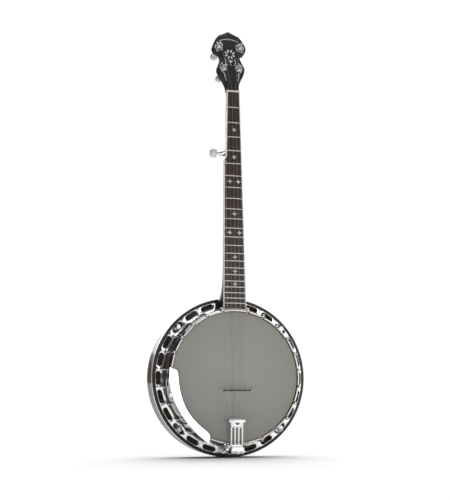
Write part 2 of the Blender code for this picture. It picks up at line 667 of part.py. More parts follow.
def make_tailpiece():
    """A slotted plate from its string bar to a block over the hoop, held by a bolt and bracket."""
    bar = box((0, HEAD_Y - 0.0130, TAIL_BAR_Z), TAIL_BAR_SIZE)
    half, thick = 0.0140, 0.0026
    top, low = TAIL_PLATE_TOP, TAIL_PLATE_END
    front_top, front_low = HEAD_Y - 0.0140, HEAD_Y - 0.0185
    plate = prism([(-half, front_top, top), (half, front_top, top), (half, front_low, low),
                   (-half, front_low, low)], (0, thick, 0))
    block = box((0, HEAD_Y - 0.0158, -0.1555), (0.0280, 0.0074, 0.0150))
    rail = box((0, HEAD_Y - 0.0110, TAIL_RAIL_Z), (0.0270, 0.0080, 0.0030))
    bolt = rod((0, HEAD_Y - 0.0215, TAIL_BOLT_Z), (0, HEAD_Y + 0.0690, TAIL_BOLT_Z), 0.0021)
    foot_depth, foot_end = 0.0688, TAIL_BOLT_Z - 0.0040
    wall_z = -(RIM_RADIUS + GAP + 0.0015)
    foot = box((0, HEAD_Y + foot_depth, (foot_end + wall_z) / 2), (0.0160, 0.0026, wall_z - foot_end))
    upright = box((0, HEAD_Y + 0.0603, wall_z), (0.0160, 0.0196, 0.0024))
    long_slots = [box((0.0081 * slot, HEAD_Y - 0.0150, -0.1265), (0.0042, 0.0160, 0.0370))
                  for slot in (-1, 0, 1)]
    notch_y = HEAD_Y - 0.0220
    notch = prism([(-0.0055, notch_y, -0.0990), (0, notch_y, -0.1015), (0.0055, notch_y, -0.0990)],
                  (0, 0.0095, 0))
    rod_hole = rod((0, HEAD_Y + ROD_DEPTH, -0.130), (0, HEAD_Y + ROD_DEPTH, -0.155), ROD_RADIUS + GAP)
    assemble("tailpiece", CHROME, [bar, plate, block, rail, bolt, foot, upright],
             [*long_slots, notch, rod_hole])


def make_coordinator_rod():
    """The bar across the pot, from the heel to the tail, with a nut against each side of the rim."""
    def at(z):
        return (0, HEAD_Y + ROD_DEPTH, z)
    nut = 0.0075
    inside = RIM_BORE - 0.0012
    outside = RIM_RADIUS + 0.0030 + 2 * GAP
    solids = [rod(at(-outside - 0.0075), at(0.1535), ROD_RADIUS),
              rod(at(inside - 0.0070), at(inside), nut, 6),
              rod(at(-inside), at(0.0070 - inside), nut, 6),
              rod(at(-outside - 0.0060), at(-outside), nut, 6)]
    assemble("coordinator_rod", NICKEL, solids)


def make_armrest():
    """A bent crescent in front of the hoop's lower left, on two clamps that hook behind the hoop."""
    inner_line = smooth_line([(203.3, 0.1345, 0), (210.0, 0.1313, 0), (222.0, 0.1300, 0), (234.0, 0.1291, 0),
                              (248.0, 0.1272, 0), (263.0, 0.1262, 0), (277.5, 0.1264, 0)], 5)
    outer_line = smooth_line([(203.3, 0.1545, 0), (209.0, 0.1513, 0), (216.0, 0.1474, 0), (227.0, 0.1454, 0),
                              (243.0, 0.1464, 0), (260.0, 0.1472, 0), (277.5, 0.1480, 0)], 5)
    section = ((0.00, -0.0066), (0.12, -0.0079), (0.45, -0.0086), (0.75, -0.0089),
               (0.92, -0.0089), (1.00, -0.0066))
    thick, end_width = 0.0012, 0.0030
    steps = len(inner_line) - 1
    shape = bmesh.new()
    rows = []
    for inner, outer in zip(inner_line, outer_line):
        part = 2 * len(rows) / steps - 1
        rounding = 1 - (1 - abs(part) ** 12) ** 0.5
        low = inner.y + (outer.y - end_width - inner.y) * rounding
        rows.append([(low + (outer.y - low) * share, inner.x, depth, share) for share, depth in section])
    skins = []
    for offset in (0.0, thick):
        skins.append([[shape.verts.new(on_circle(radius - offset * (share == 1.0), degrees, depth + offset))
                       for radius, degrees, depth, share in row] for row in rows])
    front, back = skins
    last = len(section) - 1
    for step in range(steps):
        for index in range(last):
            for skin in skins:
                shape.faces.new((skin[step][index], skin[step][index + 1],
                                 skin[step + 1][index + 1], skin[step + 1][index]))
        for index in (0, last):
            shape.faces.new((front[step][index], front[step + 1][index],
                             back[step + 1][index], back[step][index]))
    for step in (0, steps):
        for index in range(last):
            shape.faces.new((front[step][index], front[step][index + 1],
                             back[step][index + 1], back[step][index]))
    clamp = [(0.1440, -0.0082), (0.1500, -0.0078), (0.1500, 0.0212), (0.1418, 0.0212),
             (0.1418, 0.0182), (0.1473, 0.0182), (0.1473, -0.0058), (0.1440, -0.0062)]
    clamps = []
    for hook in (6, 8):
        degrees = 360 - (HOOK_FIRST + HOOK_STEP * (hook + 0.5))
        across = Matrix.Rotation(math.radians(degrees), 3, "Y") @ Vector((0.0045, 0, 0))
        clamps.append(prism([on_circle(radius, degrees, depth) - across for radius, depth in clamp],
                            2 * across))
    assemble("armrest", CHROME, [shape, *clamps])


# ---- Strings ----
def headstock_point(x, y, z):
    return frame_matrix(bpy.data.objects["headstock_frame"]) @ Vector((x, y, z))


def board_point(x, down, height):
    return frame_matrix(bpy.data.objects["board_frame"]) @ Vector((x, -down, height))


def string_line(number):
    """Points of a string, numbered from the right: peg, nut or pip, bridge, bar and tail rail."""
    across = (3 - number) * BRIDGE_SPACING
    if number == 5:
        start = FIFTH_PEG + Vector((FIFTH_POST_RADIUS, -0.0150, 0))
        start.x += STRING_RADIUS
        stops = [board_point(-0.0150, SHELF + 0.0050, NUT_PROUD + 0.0010)]
    else:
        side = (2.5 - number) * NUT_SPACING
        post_x, post_y = POSTS[4 - number]
        inward = -math.copysign(POST_RADIUS - 0.0006 + GAP + STRING_RADIUS, post_x)
        start = headstock_point(post_x + inward, post_y, 0.0087)
        rise = NUT_PROUD + 2 * GAP + STRING_RADIUS
        stops = [board_point(BOARD_CENTRE_AT_NUT + side, down, rise) for down in (-NUT_THICKNESS, 0.0)]
    over = 2 * GAP + STRING_RADIUS
    crown = Vector((across, HEAD_Y - BRIDGE_HEIGHT - over, BRIDGE_Z))
    bar_top = TAIL_BAR_Z + TAIL_BAR_SIZE[2] / 2
    under_bar = Vector((across * 0.62, HEAD_Y - 0.0106 + over, bar_top))
    anchor = Vector((across * 0.58, under_bar.y, TAIL_RAIL_Z + 0.0023))
    return [start, *stops, crown, under_bar, anchor]


def make_strings():
    for number in range(1, 6):
        name = f"string_{number}"
        curve = bpy.data.curves.new(name, "CURVE")
        curve.dimensions = "3D"
        curve.bevel_depth = STRING_RADIUS
        curve.bevel_resolution = 2
        curve.use_fill_caps = True
        curve.resolution_u = 1
        spline = curve.splines.new("POLY")
        line = string_line(number)
        spline.points.add(len(line) - 1)
        for point, place_at in zip(spline.points, line):
            point.co = (*place_at, 1.0)
        curve.materials.append(material(STEEL))
        made = bpy.data.objects.new(name, curve)
        bpy.context.scene.collection.objects.link(made)


def main():
    clear_scene()
    board = board_frame()
    headstock = headstock_frame()
    make_rim()
    make_tone_ring()
    make_drum_head()
    make_tension_hoop()
    make_flange()
    make_hooks()
    make_resonator()
    make_thumb_screws()
    make_neck(headstock)
    make_fingerboard(board)
    make_tuners(headstock)
    make_fifth_peg()
    make_bridge()
    make_tailpiece()
    make_coordinator_rod()
    make_armrest()
    make_strings()


main()
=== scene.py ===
import json
import math

import bmesh
import bpy
from mathutils import Matrix, Vector
from mathutils.geometry import delaunay_2d_cdt


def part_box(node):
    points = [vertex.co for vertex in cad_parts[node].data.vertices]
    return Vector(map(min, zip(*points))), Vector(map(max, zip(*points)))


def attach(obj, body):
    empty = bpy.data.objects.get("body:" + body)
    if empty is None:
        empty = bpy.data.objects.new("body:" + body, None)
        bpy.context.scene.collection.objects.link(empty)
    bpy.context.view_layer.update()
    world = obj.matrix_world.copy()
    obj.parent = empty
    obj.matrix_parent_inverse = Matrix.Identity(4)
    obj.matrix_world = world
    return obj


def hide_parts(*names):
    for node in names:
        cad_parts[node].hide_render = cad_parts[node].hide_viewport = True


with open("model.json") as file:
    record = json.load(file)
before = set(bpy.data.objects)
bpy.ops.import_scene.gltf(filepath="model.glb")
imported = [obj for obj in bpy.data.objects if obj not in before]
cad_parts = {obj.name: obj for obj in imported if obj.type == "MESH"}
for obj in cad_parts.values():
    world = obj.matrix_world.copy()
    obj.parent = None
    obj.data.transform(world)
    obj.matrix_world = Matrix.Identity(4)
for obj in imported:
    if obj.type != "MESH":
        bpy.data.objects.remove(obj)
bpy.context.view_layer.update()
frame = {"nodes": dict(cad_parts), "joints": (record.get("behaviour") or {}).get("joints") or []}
JOINTS = {joint["name"]: joint for joint in frame["joints"]}

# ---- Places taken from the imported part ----
HEAD_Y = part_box("drum_head")[0].y
FLOOR_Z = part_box("resonator")[0].z
BRIDGE_Z = sum(corner.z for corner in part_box("bridge")) / 2

# ---- Sizes in metres; a depth is how far something lies behind the drum head's face ----
HEAD_RADIUS = 0.1402
FLESH_HOOP_RADIUS = 0.1442
RIM_RADIUS = 0.1395
RIM_BORE = 0.1210
RIM_BACK = 0.0720
HOOP_TOP, HOOP_LEDGE, HOOP_BOTTOM = -0.0036, 0.0096, 0.0175
HOOP_TOP_RADIUS, HOOP_RADIUS = 0.1448, 0.1462
FLANGE_FRONT, FLANGE_PLATE = 0.0455, 0.0026
FLANGE_BAND_BACK, FLANGE_BAND_RADIUS = 0.0496, 0.1536
FLANGE_RADIUS = 0.1657
SLOT_INNER, SLOT_OUTER = 0.15395, 0.16465
SLOT_HALF_ANGLE = 5.35
SLOT_FIRST, SLOT_STEP, SLOTS_PER_SIDE = 18.5, 14.45, 11
HOOK_FIRST, HOOK_STEP, HOOKS_PER_SIDE = 11.5, 14.45, 12
HOOK_CIRCLE = 0.1500
RESONATOR_RADIUS, RESONATOR_FRONT, RESONATOR_WALL_INSIDE = 0.1723, 0.0463, 0.1662
THUMB_SCREW_CIRCLE = 0.1593
SCALE_LENGTH = 0.66675
NUT_HEIGHT, NUT_DEPTH = 0.6375, 0.0254
NECK_PITCH = math.radians(3.0)
BOARD_LENGTH, BOARD_THICKNESS = 0.4930, 0.0055
BOARD_CENTRE_AT_NUT = 0.0057
BOARD_HALF_AT_NUT, BOARD_HALF_AT_SHELF, BOARD_HALF_AT_END = 0.0145, 0.0180, 0.0256
SHELF = 0.1580
FIFTH_SHOULDER_Z = 0.48
FRETS = 22
FRET_HEIGHT, FRET_WIDTH = 0.0010, 0.0022
NUT_PROUD, NUT_THICKNESS = 0.0014, 0.0044
HEADSTOCK_PITCH = math.radians(15.0)
HEADSTOCK_THICKNESS = 0.0150
POSTS = ((-0.0170, 0.0550), (-0.0246, 0.1130), (0.0246, 0.1130), (0.0170, 0.0550))
TAIL_BAR_Z, TAIL_BOLT_Z = -0.0935, -0.1605
TAIL_PIN_SPACING = 0.00609
TAIL_BAR_SIZE = (0.0360, 0.0080)
TAIL_PLATE_TOP, TAIL_PLATE_END, TAIL_RAIL_Z = -0.0940, -0.1500, -0.1035
GAP = 0.0003


# ---- Shader helpers ----
def srgb(r, g, b):
    """An sRGB colour, 0 to 255, as linear red, green, blue and alpha."""
    shares = [value / 255 for value in (r, g, b)]
    return (*(share / 12.92 if share <= 0.04045 else ((share + 0.055) / 1.055) ** 2.4 for share in shares), 1.0)


def grey(value):
    return (value, value, value, 1.0)


class Nodes:
    """Short ways to add nodes to a tree. An input takes a value or another node's output."""

    def __init__(self, tree):
        self.tree = tree

    def feed(self, socket, value):
        if isinstance(value, bpy.types.NodeSocket):
            self.tree.links.new(value, socket)
        else:
            socket.default_value = value

    def node(self, kind, inputs, output=0, **settings):
        made = self.tree.nodes.new(kind)
        for key, value in settings.items():
            setattr(made, key, value)
        for socket, value in inputs.items():
            self.feed(made.inputs[socket], value)
        return made.outputs[output]

    def ramp(self, source, *stops):
        """Stops are (position, colour)."""
        made = self.tree.nodes.new("ShaderNodeValToRGB")
        elements = made.color_ramp.elements
        while len(elements) < len(stops):
            elements.new(0.5)
        for element, (position, colour) in zip(elements, stops):
            element.position = position
            element.color = colour
        self.feed(made.inputs["Fac"], source)
        return made.outputs["Color"]

    def mix(self, first, second, blend="MULTIPLY", factor=1.0):
        return self.node("ShaderNodeMix", {"Factor": factor, 6: first, 7: second}, 2, data_type="RGBA",
                         blend_type=blend)


class Look(Nodes):
    """A material under construction round its Principled shader."""

    def __init__(self, name, colour, roughness, metallic=0.0, **sockets):
        self.material = bpy.data.materials.new(name)
        self.material.use_nodes = True
        super().__init__(self.material.node_tree)
        self.shader = self.tree.nodes["Principled BSDF"]
        self.normal = None
        self.set(Base_Color=colour, Roughness=roughness, Metallic=metallic, **sockets)

    def set(self, **sockets):
        """Feed the shader's inputs, named with _ for a space."""
        for socket, value in sockets.items():
            self.feed(self.shader.inputs[socket.replace("_", " ")], value)

    def place(self, stretch=(1, 1, 1)):
        """Object coordinates, scaled along each axis."""
        whole = self.node("ShaderNodeTexCoord", {}, "Object")
        return self.node("ShaderNodeMapping", {"Vector": whole, "Scale": stretch}, "Vector")

    def noise(self, scale, detail=4.0, rough=0.6, stretch=(1, 1, 1), distortion=0.0):
        return self.node("ShaderNodeTexNoise", {"Scale": scale, "Detail": detail, "Roughness": rough,
                                                "Distortion": distortion, "Vector": self.place(stretch)}, "Fac")

    def spread(self, source, low, high, start=0.0, end=1.0):
        """Carry the range from start to end over to the one from low to high."""
        return self.node("ShaderNodeMapRange", {"Value": source, "From Min": start, "From Max": end,
                                                "To Min": low, "To Max": high}, "Result")

    def maths(self, operation, first, second):
        return self.node("ShaderNodeMath", {0: first, 1: second}, "Value", operation=operation)

    def bump(self, source, strength, distance):
        """Raise the surface by a source, on top of the bumps before it."""
        inputs = {"Height": source, "Strength": strength, "Distance": distance}
        if self.normal is not None:
            inputs["Normal"] = self.normal
        self.normal = self.node("ShaderNodeBump", inputs, "Normal")
        self.set(Normal=self.normal)


def metal(name, colour, roughness, wear=0.05, ripple=0.00004, scale=60):
    """Plated metal: soft smudges in its gloss, fine scratches and a faint ripple under the plating."""
    look = Look(name, colour, roughness, 1.0)
    smudge = look.noise(scale, detail=5.0, rough=0.65)
    scratch = look.noise(900, detail=2.0, rough=0.5, stretch=(1, 0.08, 1))
    both = look.maths("ADD", look.maths("MULTIPLY", smudge, 0.7), look.maths("MULTIPLY", scratch, 0.3))
    dull = tuple(value * 0.90 for value in colour[:3]) + (1.0,)
    look.set(Roughness=look.spread(both, max(roughness - wear, 0.015), roughness + wear, 0.3, 0.7),
             Base_Color=look.ramp(smudge, (0.35, colour), (0.75, dull)))
    look.bump(look.noise(110, detail=2.0, rough=0.5), 0.35, ripple)
    look.bump(scratch, 0.10, 0.00001)
    return look.material


def lacquered(name, dark, light, along, grain_scale, pores=0.5, coat=0.50, coat_roughness=0.06):
    """Stained wood under a clear gloss: grain along an axis, open pores and a slightly uneven coat."""
    look = Look(name, dark, 0.45, Coat_Weight=coat, Coat_Roughness=coat_roughness, Specular_IOR_Level=0.12)
    stretch = [1.0, 1.0, 1.0]
    stretch[along] = 0.06
    figure = look.noise(grain_scale, detail=6.0, rough=0.62, stretch=stretch, distortion=0.6)
    pore = look.noise(grain_scale * 16, detail=2.0, rough=0.5, stretch=stretch)
    cloud = look.noise(14, detail=3.0, rough=0.5)
    base = look.ramp(figure, (0.32, dark), (0.68, light))
    shade = look.ramp(pore, (0.34, (0.35, 0.30, 0.30, 1.0)), (0.46, grey(1.0)))
    tinted = look.mix(base, look.mix(base, shade), "MIX", pores)
    warm = look.ramp(cloud, (0.3, (0.86, 0.86, 0.88, 1.0)), (0.7, (1.10, 1.04, 1.0, 1.0)))
    look.set(Base_Color=look.mix(tinted, warm), Roughness=look.spread(figure, 0.36, 0.55))
    look.bump(cloud, 0.25, 0.00035)
    look.bump(figure, 0.12, 0.00006)
    return look.material


def plain(name, colour, roughness, spots=0.12, scale=80, bump=0.00003, **sockets):
    """Moulded or polished stuff with faint clouding and a very fine surface."""
    look = Look(name, colour, roughness, **sockets)
    low = tuple(max(value * (1 - spots), 0.0) for value in colour[:3]) + (1.0,)
    high = tuple(min(value * (1 + spots), 1.0) for value in colour[:3]) + (1.0,)
    fine = look.noise(scale * 3, detail=3.0)
    look.set(Base_Color=look.ramp(look.noise(scale), (0.3, low), (0.7, high)),
             Roughness=look.spread(fine, roughness * 0.8, min(roughness * 1.25, 1.0)))
    look.bump(look.noise(scale * 9, detail=2.0, rough=0.5), 0.3, bump)
    return look.material


def make_pearloid(name, light, dark, scale):
    """Celluloid pearl: drifting flakes of slightly different tone under a gloss."""
    look = Look(name, light, 0.22, Coat_Weight=0.6, Coat_Roughness=0.08)
    drift = look.node("ShaderNodeTexNoise", {"Scale": scale * 0.6, "Vector": look.place()}, "Color")
    warped = look.node("ShaderNodeMix", {"Factor": 0.03, 4: look.place(), 5: drift}, 1, data_type="VECTOR")
    flakes = look.node("ShaderNodeTexVoronoi", {"Scale": scale, "Vector": warped}, "Color", feature="F1")
    tone = look.node("ShaderNodeSeparateColor", {"Color": flakes}, "Red")
    gloss = tone.node.outputs["Green"]
    look.set(Base_Color=look.ramp(tone, (0.05, dark), (0.55, light), (0.95, (0.93, 0.94, 0.90, 1.0))),
             Roughness=look.spread(gloss, 0.16, 0.34))
    return look.material


def make_membrane():
    """The frosted drum head: a sprayed coat with painted shade, darker towards the hoop, and warmer at its very
    edge.
    """
    look = Look("frosted_film", srgb(158, 161, 153), 0.62, Coat_Weight=0.12, Coat_Roughness=0.35)
    reach = look.node("ShaderNodeVectorMath", {0: look.place((1, 0, 1))}, "Value", operation="LENGTH")
    radius = look.spread(reach, 0.0, 1.0, 0.0, HEAD_RADIUS)
    soft = look.noise(9, detail=3.0, rough=0.5)
    edge = look.maths("ADD", radius, look.maths("MULTIPLY", look.maths("SUBTRACT", soft, 0.5), 0.10))
    # Painted shade: the film's colour falls from its middle towards the hoop; its outermost edge is warmer.
    body = look.ramp(edge, (0.0, srgb(167, 169, 163)), (0.5, srgb(160, 162, 156)),
                     (0.86, srgb(152, 155, 149)), (0.97, srgb(157, 152, 140)))
    speck = look.noise(2200, detail=2.0)
    spray = look.ramp(speck, (0.3, grey(0.94)), (0.7, grey(1.03)))
    look.set(Base_Color=look.mix(body, spray), Roughness=look.spread(soft, 0.55, 0.70))
    look.bump(speck, 0.5, 0.00008)
    return look.material


def make_rosewood():
    """Dark open-pored wood, its grain along the neck."""
    look = Look("rosewood", srgb(60, 44, 42), 0.45)
    stretch = (1.0, 1.0, 0.05)
    figure = look.noise(90, detail=6.0, rough=0.65, stretch=stretch, distortion=0.8)
    pores = look.noise(1500, detail=2.0, rough=0.5, stretch=stretch)
    base = look.ramp(figure, (0.30, srgb(46, 33, 33)), (0.52, srgb(66, 47, 45)), (0.75, srgb(84, 58, 52)))
    shade = look.ramp(pores, (0.36, (0.40, 0.36, 0.36, 1.0)), (0.48, grey(1.0)))
    look.set(Base_Color=look.mix(base, shade), Roughness=look.spread(figure, 0.34, 0.55))
    look.bump(pores, 0.4, 0.00008)
    return look.material


def make_string(name, wound):
    """Drawn steel, or steel in a close bronze winding."""
    look = Look(name, (0.40, 0.40, 0.39, 1.0), 0.35, 1.0)
    if wound:
        turns = look.node("ShaderNodeTexWave", {"Scale": 900, "Distortion": 0.0, "Detail": 0.0,
                                                "Vector": look.place()}, "Fac", bands_direction="Z")
        look.bump(turns, 0.6, 0.00008)
        look.set(Base_Color=look.ramp(turns, (0.2, (0.26, 0.24, 0.20, 1.0)), (0.8, (0.44, 0.41, 0.36, 1.0))))
    else:
        look.set(Base_Color=look.ramp(look.noise(120), (0.3, grey(0.48)), (0.7, (0.58, 0.58, 0.57, 1.0))))
    look.set(Roughness=look.spread(look.noise(300), 0.30, 0.44))
    return look.material


CHROME = metal("chrome", (0.86, 0.86, 0.855, 1.0), 0.07, 0.04)
CAST_CHROME = metal("cast_chrome", (0.86, 0.86, 0.85, 1.0), 0.11, ripple=0.00010, scale=45)
# Painted shade: a darker copy of the chrome for the hooks, hoop and thumb screws, so they look dimmer than the
# flange.
SHADED_CHROME = metal("chrome_painted_darker", grey(0.42), 0.09, 0.06)
NICKEL = metal("nickel", (0.60, 0.59, 0.56, 1.0), 0.30, 0.10)
BRASS = metal("bell_brass", (0.62, 0.47, 0.22, 1.0), 0.32, 0.10)
FRET_METAL = metal("fret_metal", (0.70, 0.69, 0.66, 1.0), 0.20, 0.08)
# Painted shade: a near-black metal for thin sheets laid on the button ends as screw slots and on the tailpiece
# bolt's end.
SLOT_SHADE = metal("painted_slot_shade", grey(0.10), 0.40, 0.10)
MAHOGANY = lacquered("mahogany", srgb(58, 36, 29), srgb(98, 62, 48), 2, 60)
RIM_WOOD = lacquered("stained_maple", srgb(86, 68, 68), srgb(116, 98, 99), 1, 40, pores=0.25)
BOWL_INSIDE = lacquered("sealed_bowl_inside", srgb(196, 186, 172), srgb(214, 204, 190), 2, 60, pores=0.3,
                        coat=0.1)
NECK_WOOD = lacquered("dark_neck_wood", srgb(27, 23, 23), srgb(44, 35, 34), 2, 70, pores=0.35, coat=0.08)
BRIDGE_MAPLE = lacquered("bridge_maple", srgb(216, 196, 182), srgb(236, 218, 206), 0, 120, pores=0.2,
                         coat_roughness=0.35)
BLACK_LACQUER = plain("black_lacquer", srgb(46, 42, 44), 0.42, 0.25, 60, 0.00002,
                      Coat_Weight=0.25, Coat_Roughness=0.12, Specular_IOR_Level=0.15)
BINDING = plain("cream_binding", srgb(246, 240, 230), 0.28, 0.05, 50, 0.00002, Coat_Weight=0.5,
                Coat_Roughness=0.10)
NUT_BONE = plain("nut_bone", srgb(238, 232, 226), 0.35, 0.06, 120, 0.00002)
EBONY = plain("ebony", srgb(30, 26, 24), 0.42, 0.20, 300, 0.00004)
PEARLOID = make_pearloid("pearloid", srgb(206, 212, 200), srgb(150, 158, 148), 260)
PEARL = make_pearloid("mother_of_pearl", srgb(214, 214, 208), srgb(168, 172, 170), 420)
MEMBRANE = make_membrane()
ROSEWOOD = make_rosewood()
STEEL = make_string("plain_steel", False)
WOUND = make_string("wound_string", True)


# ---- Geometry helpers ----
def quarter_turns(axis, count):
    return Matrix.Rotation(math.pi / 2 * count, 4, axis)


def on_circle(radius, degrees, depth):
    """A place on the pot, its angle counted from the neck towards the right."""
    angle = math.radians(degrees)
    return Vector((radius * math.sin(angle), HEAD_Y + depth, radius * math.cos(angle)))


def around(degrees):
    return Matrix.Rotation(math.radians(degrees), 4, "Y")


def circle(radius, steps, x=0.0, y=0.0):
    """A closed 2D loop of points round a centre."""
    turns = [math.tau * step / steps for step in range(steps)]
    return [(x + radius * math.cos(turn), y + radius * math.sin(turn)) for turn in turns]


def mesh_of(name, shape, materials, smooth=32.0):
    """A bmesh as a mesh with its faces out, its edges sharp past an angle, and its materials."""
    bmesh.ops.recalc_face_normals(shape, faces=shape.faces)
    mesh = bpy.data.meshes.new(name)
    shape.to_mesh(mesh)
    shape.free()
    mesh.set_sharp_from_angle(angle=math.radians(smooth))
    for look in materials:
        mesh.materials.append(look)
    return mesh


def linked(name, mesh, matrix=Matrix.Identity(4), body="root", slot="chrome", replaces=None):
    """A mesh as a named piece that rides on a body and may stand for a CAD node; its slot argument is not used.
    """
    made = bpy.data.objects.new(name, mesh)
    bpy.context.scene.collection.objects.link(made)
    made.matrix_world = matrix
    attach(made, body)
    if replaces:
        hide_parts(replaces)
    return made


def piece(name, shape, materials, smooth=32.0, **settings):
    """A bmesh as a piece of its own."""
    return linked(name, mesh_of(name, shape, materials, smooth), **settings)


def fillet(points, radius, steps=4):
    """Round a closed or open 2D polyline's corners; a point may bring its own radius as a third number."""
    line = []
    count = len(points)
    for index, point in enumerate(points):
        own = point[2] if len(point) > 2 else radius
        here = Vector(point[:2])
        before = Vector(points[index - 1][:2]) - here
        after = Vector(points[(index + 1) % count][:2]) - here
        if own <= 0 or before.length < 1e-9 or after.length < 1e-9:
            line.append(here)
            continue
        angle = before.angle(after, math.pi)
        if angle > math.radians(174):
            line.append(here)
            continue
        cut = min(own / math.tan(angle / 2), before.length * 0.48, after.length * 0.48)
        start = here + before.normalized() * cut
        end = here + after.normalized() * cut
        for step in range(steps + 1):
            t = step / steps
            line.append(start.lerp(here, t).lerp(here.lerp(end, t), t))
    return line


def catmull(points, steps):
    """A smooth open line through points."""
    vectors = [Vector(point) for point in points]
    last = len(vectors) - 1
    line = []
    for index in range(last):
        a, b, c, d = (vectors[min(max(index + shift, 0), last)] for shift in (-1, 0, 1, 2))
        for step in range(steps):
            t = step / steps
            line.append(0.5 * (2 * b + (c - a) * t + (2 * a - 5 * b + 4 * c - d) * t * t
                               + (3 * b - a - 3 * c + d) * t * t * t))
    line.append(vectors[-1])
    return line


def skin(shape, rows, closed_rows=False, closed_columns=False, material=0):
    """Smooth faces between rows of vertices; material is one number, or a list with one for each column."""
    pairs = list(zip(rows, rows[1:]))
    if closed_rows:
        pairs.append((rows[-1], rows[0]))
    for low, high in pairs:
        count = len(low)
        for index in range(count if closed_columns else count - 1):
            after = (index + 1) % count
            corners = list(dict.fromkeys((low[index], low[after], high[after], high[index])))
            if len(corners) > 2:
                face = shape.faces.new(corners)
                face.smooth = True
                face.material_index = material[index] if isinstance(material, list) else material


def loft(shape, rows, material=0):
    """A closed solid through rows of vertices, with a flat face at both ends."""
    skin(shape, rows, closed_columns=True, material=material)
    for row in (rows[0], rows[-1]):
        shape.faces.new(row).material_index = material


def lathe(shape, profile, steps=32, matrix=Matrix.Identity(4), material=0, closed=False, flutes=0,
          flute_depth=0.0, flute_span=(0, 0)):
    """Spin a (radius, height) profile about local Z; flutes scallop the heights in flute_span."""
    poles = {}
    rows = []
    for step in range(steps):
        angle = math.tau * step / steps
        row = []
        for index, (radius, height) in enumerate(profile):
            if radius < 1e-7:
                if index not in poles:
                    poles[index] = shape.verts.new(matrix @ Vector((0, 0, height)))
                row.append(poles[index])
                continue
            if flute_span[0] <= height <= flute_span[1]:
                radius -= flute_depth * (0.5 - 0.5 * math.cos(flutes * angle))
            spot = Vector((radius * math.cos(angle), radius * math.sin(angle), height))
            row.append(shape.verts.new(matrix @ spot))
        rows.append(row)
    skin(shape, rows, closed_rows=True, closed_columns=closed, material=material)


def turned(shape, profile, steps=180, closed=True, looks=None):
    """Spin a (radius, depth) profile about the pot's axis; looks picks a segment's material from its middle."""
    material = 0
    if looks:
        pairs = zip(profile, [*profile[1:], profile[0]])
        material = [looks(*(Vector(here) + Vector(after)) / 2) for here, after in pairs]
    lathe(shape, profile, steps, POT_AXIS, material, closed)
    return shape


def loop_offset(loop, distance):
    """A closed 2D loop moved inwards by a distance (counter-clockwise loops shrink)."""
    moved = []
    count = len(loop)
    for index in range(count):
        before, here, after = (Vector(loop[(index + shift) % count][:2]) for shift in (-1, 0, 1))
        one, two = (here - before), (after - here)
        if one.length < 1e-9:
            one = two
        if two.length < 1e-9:
            two = one
        one.normalize()
        two.normalize()
        normal = Vector((-(one.y + two.y), one.x + two.x))
        if normal.length < 1e-6:
            normal = Vector((-one.y, one.x))
        normal.normalize()
        share = max(normal.dot(Vector((-one.y, one.x))), 0.5)
        moved.append(here + normal * (distance / share))
    return moved


def area(loop):
    return 0.5 * sum(a[0] * b[1] - b[0] * a[1] for a, b in zip(loop, list(loop[1:]) + [loop[0]]))


def inside(point, loop):
    """Whether a 2D point lies within a closed loop."""
    found = False
    before = loop[-1]
    for here in loop:
        if (here[1] > point.y) != (before[1] > point.y):
            if point.x < here[0] + (before[0] - here[0]) * (point.y - here[1]) / (before[1] - here[1]):
                found = not found
        before = here
    return found


def plate(shape, outline, holes=(), front=0.0, back=-0.001, edge=0.0003, matrix=Matrix.Identity(4),
          material=0, side_material=None, rounds=3, back_edge=None):
    """A flat plate in local XY between two heights, with rounded edges all round its outline and holes."""
    side_material = material if side_material is None else side_material
    back_edge = edge if back_edge is None else back_edge
    loops = [[Vector(point[:2]) for point in points] for points in (outline, *holes)]
    for index, loop in enumerate(loops):
        if (area(loop) > 0) == (index > 0):
            loop.reverse()
    turns = [math.pi / 2 * step / rounds for step in range(rounds + 1)]
    steps = [(edge * (1 - math.sin(turn)), front - edge * (1 - math.cos(turn))) for turn in turns]
    steps += [(back_edge * (1 - math.cos(turn)), back + back_edge * (1 - math.sin(turn))) for turn in turns]
    tops, bottoms = [], []
    for loop in loops:
        insets = [loop_offset(loop, inset) if inset > 0 else loop for inset, _ in steps]
        rings = [[shape.verts.new(matrix @ Vector((*point, height))) for point in ring]
                 for ring, (_, height) in zip(insets, steps)]
        skin(shape, rings, closed_columns=True, material=side_material)
        tops.append((rings[0], insets[0]))
        bottoms.append((rings[-1], insets[-1]))
    fill(shape, tops, material)
    fill(shape, bottoms, side_material)


def fill(shape, sets, material):
    """Flat faces between an outline and its holes, each given as its vertices and its 2D loop."""
    points, edges, verts = [], [], []
    for ring, loop in sets:
        start = len(points)
        points += loop
        verts += ring
        edges += [(start + index, start + (index + 1) % len(loop)) for index in range(len(loop))]
    flat_verts, _, faces, sources, _, _ = delaunay_2d_cdt(points, edges, [], 1, 1e-9)
    for face in faces:
        middle = sum((flat_verts[index] for index in face), Vector((0, 0))) / len(face)
        if not inside(middle, sets[0][1]) or any(inside(middle, loop) for _, loop in sets[1:]):
            continue
        corners = [verts[sources[index][0]] if sources[index] else None for index in face]
        if None not in corners and len(set(corners)) == len(corners) > 2 and not shape.faces.get(corners):
            shape.faces.new(corners).material_index = material


def tube(shape, points, radius, sides=10, material=0, closed=False):
    """A round tube along points; radius is a number or one per point."""
    points = [Vector(point) for point in points]
    count = len(points)
    rows = []
    normal = None
    for index, point in enumerate(points):
        if closed:
            tangent = points[(index + 1) % count] - points[index - 1]
        else:
            tangent = points[min(index + 1, count - 1)] - points[max(index - 1, 0)]
        tangent.normalize()
        if normal is None:
            normal = tangent.orthogonal().normalized()
        normal = (normal - tangent * normal.dot(tangent)).normalized()
        side = tangent.cross(normal)
        size = radius[index] if isinstance(radius, list) else radius
        rows.append([shape.verts.new(point + (normal * x + side * y) * size) for x, y in circle(1.0, sides)])
    if closed:
        skin(shape, rows, closed_rows=True, closed_columns=True, material=material)
    else:
        loft(shape, rows, material)


def rectangle(left, right, low, high):
    return [(left, low), (right, low), (right, high), (left, high)]


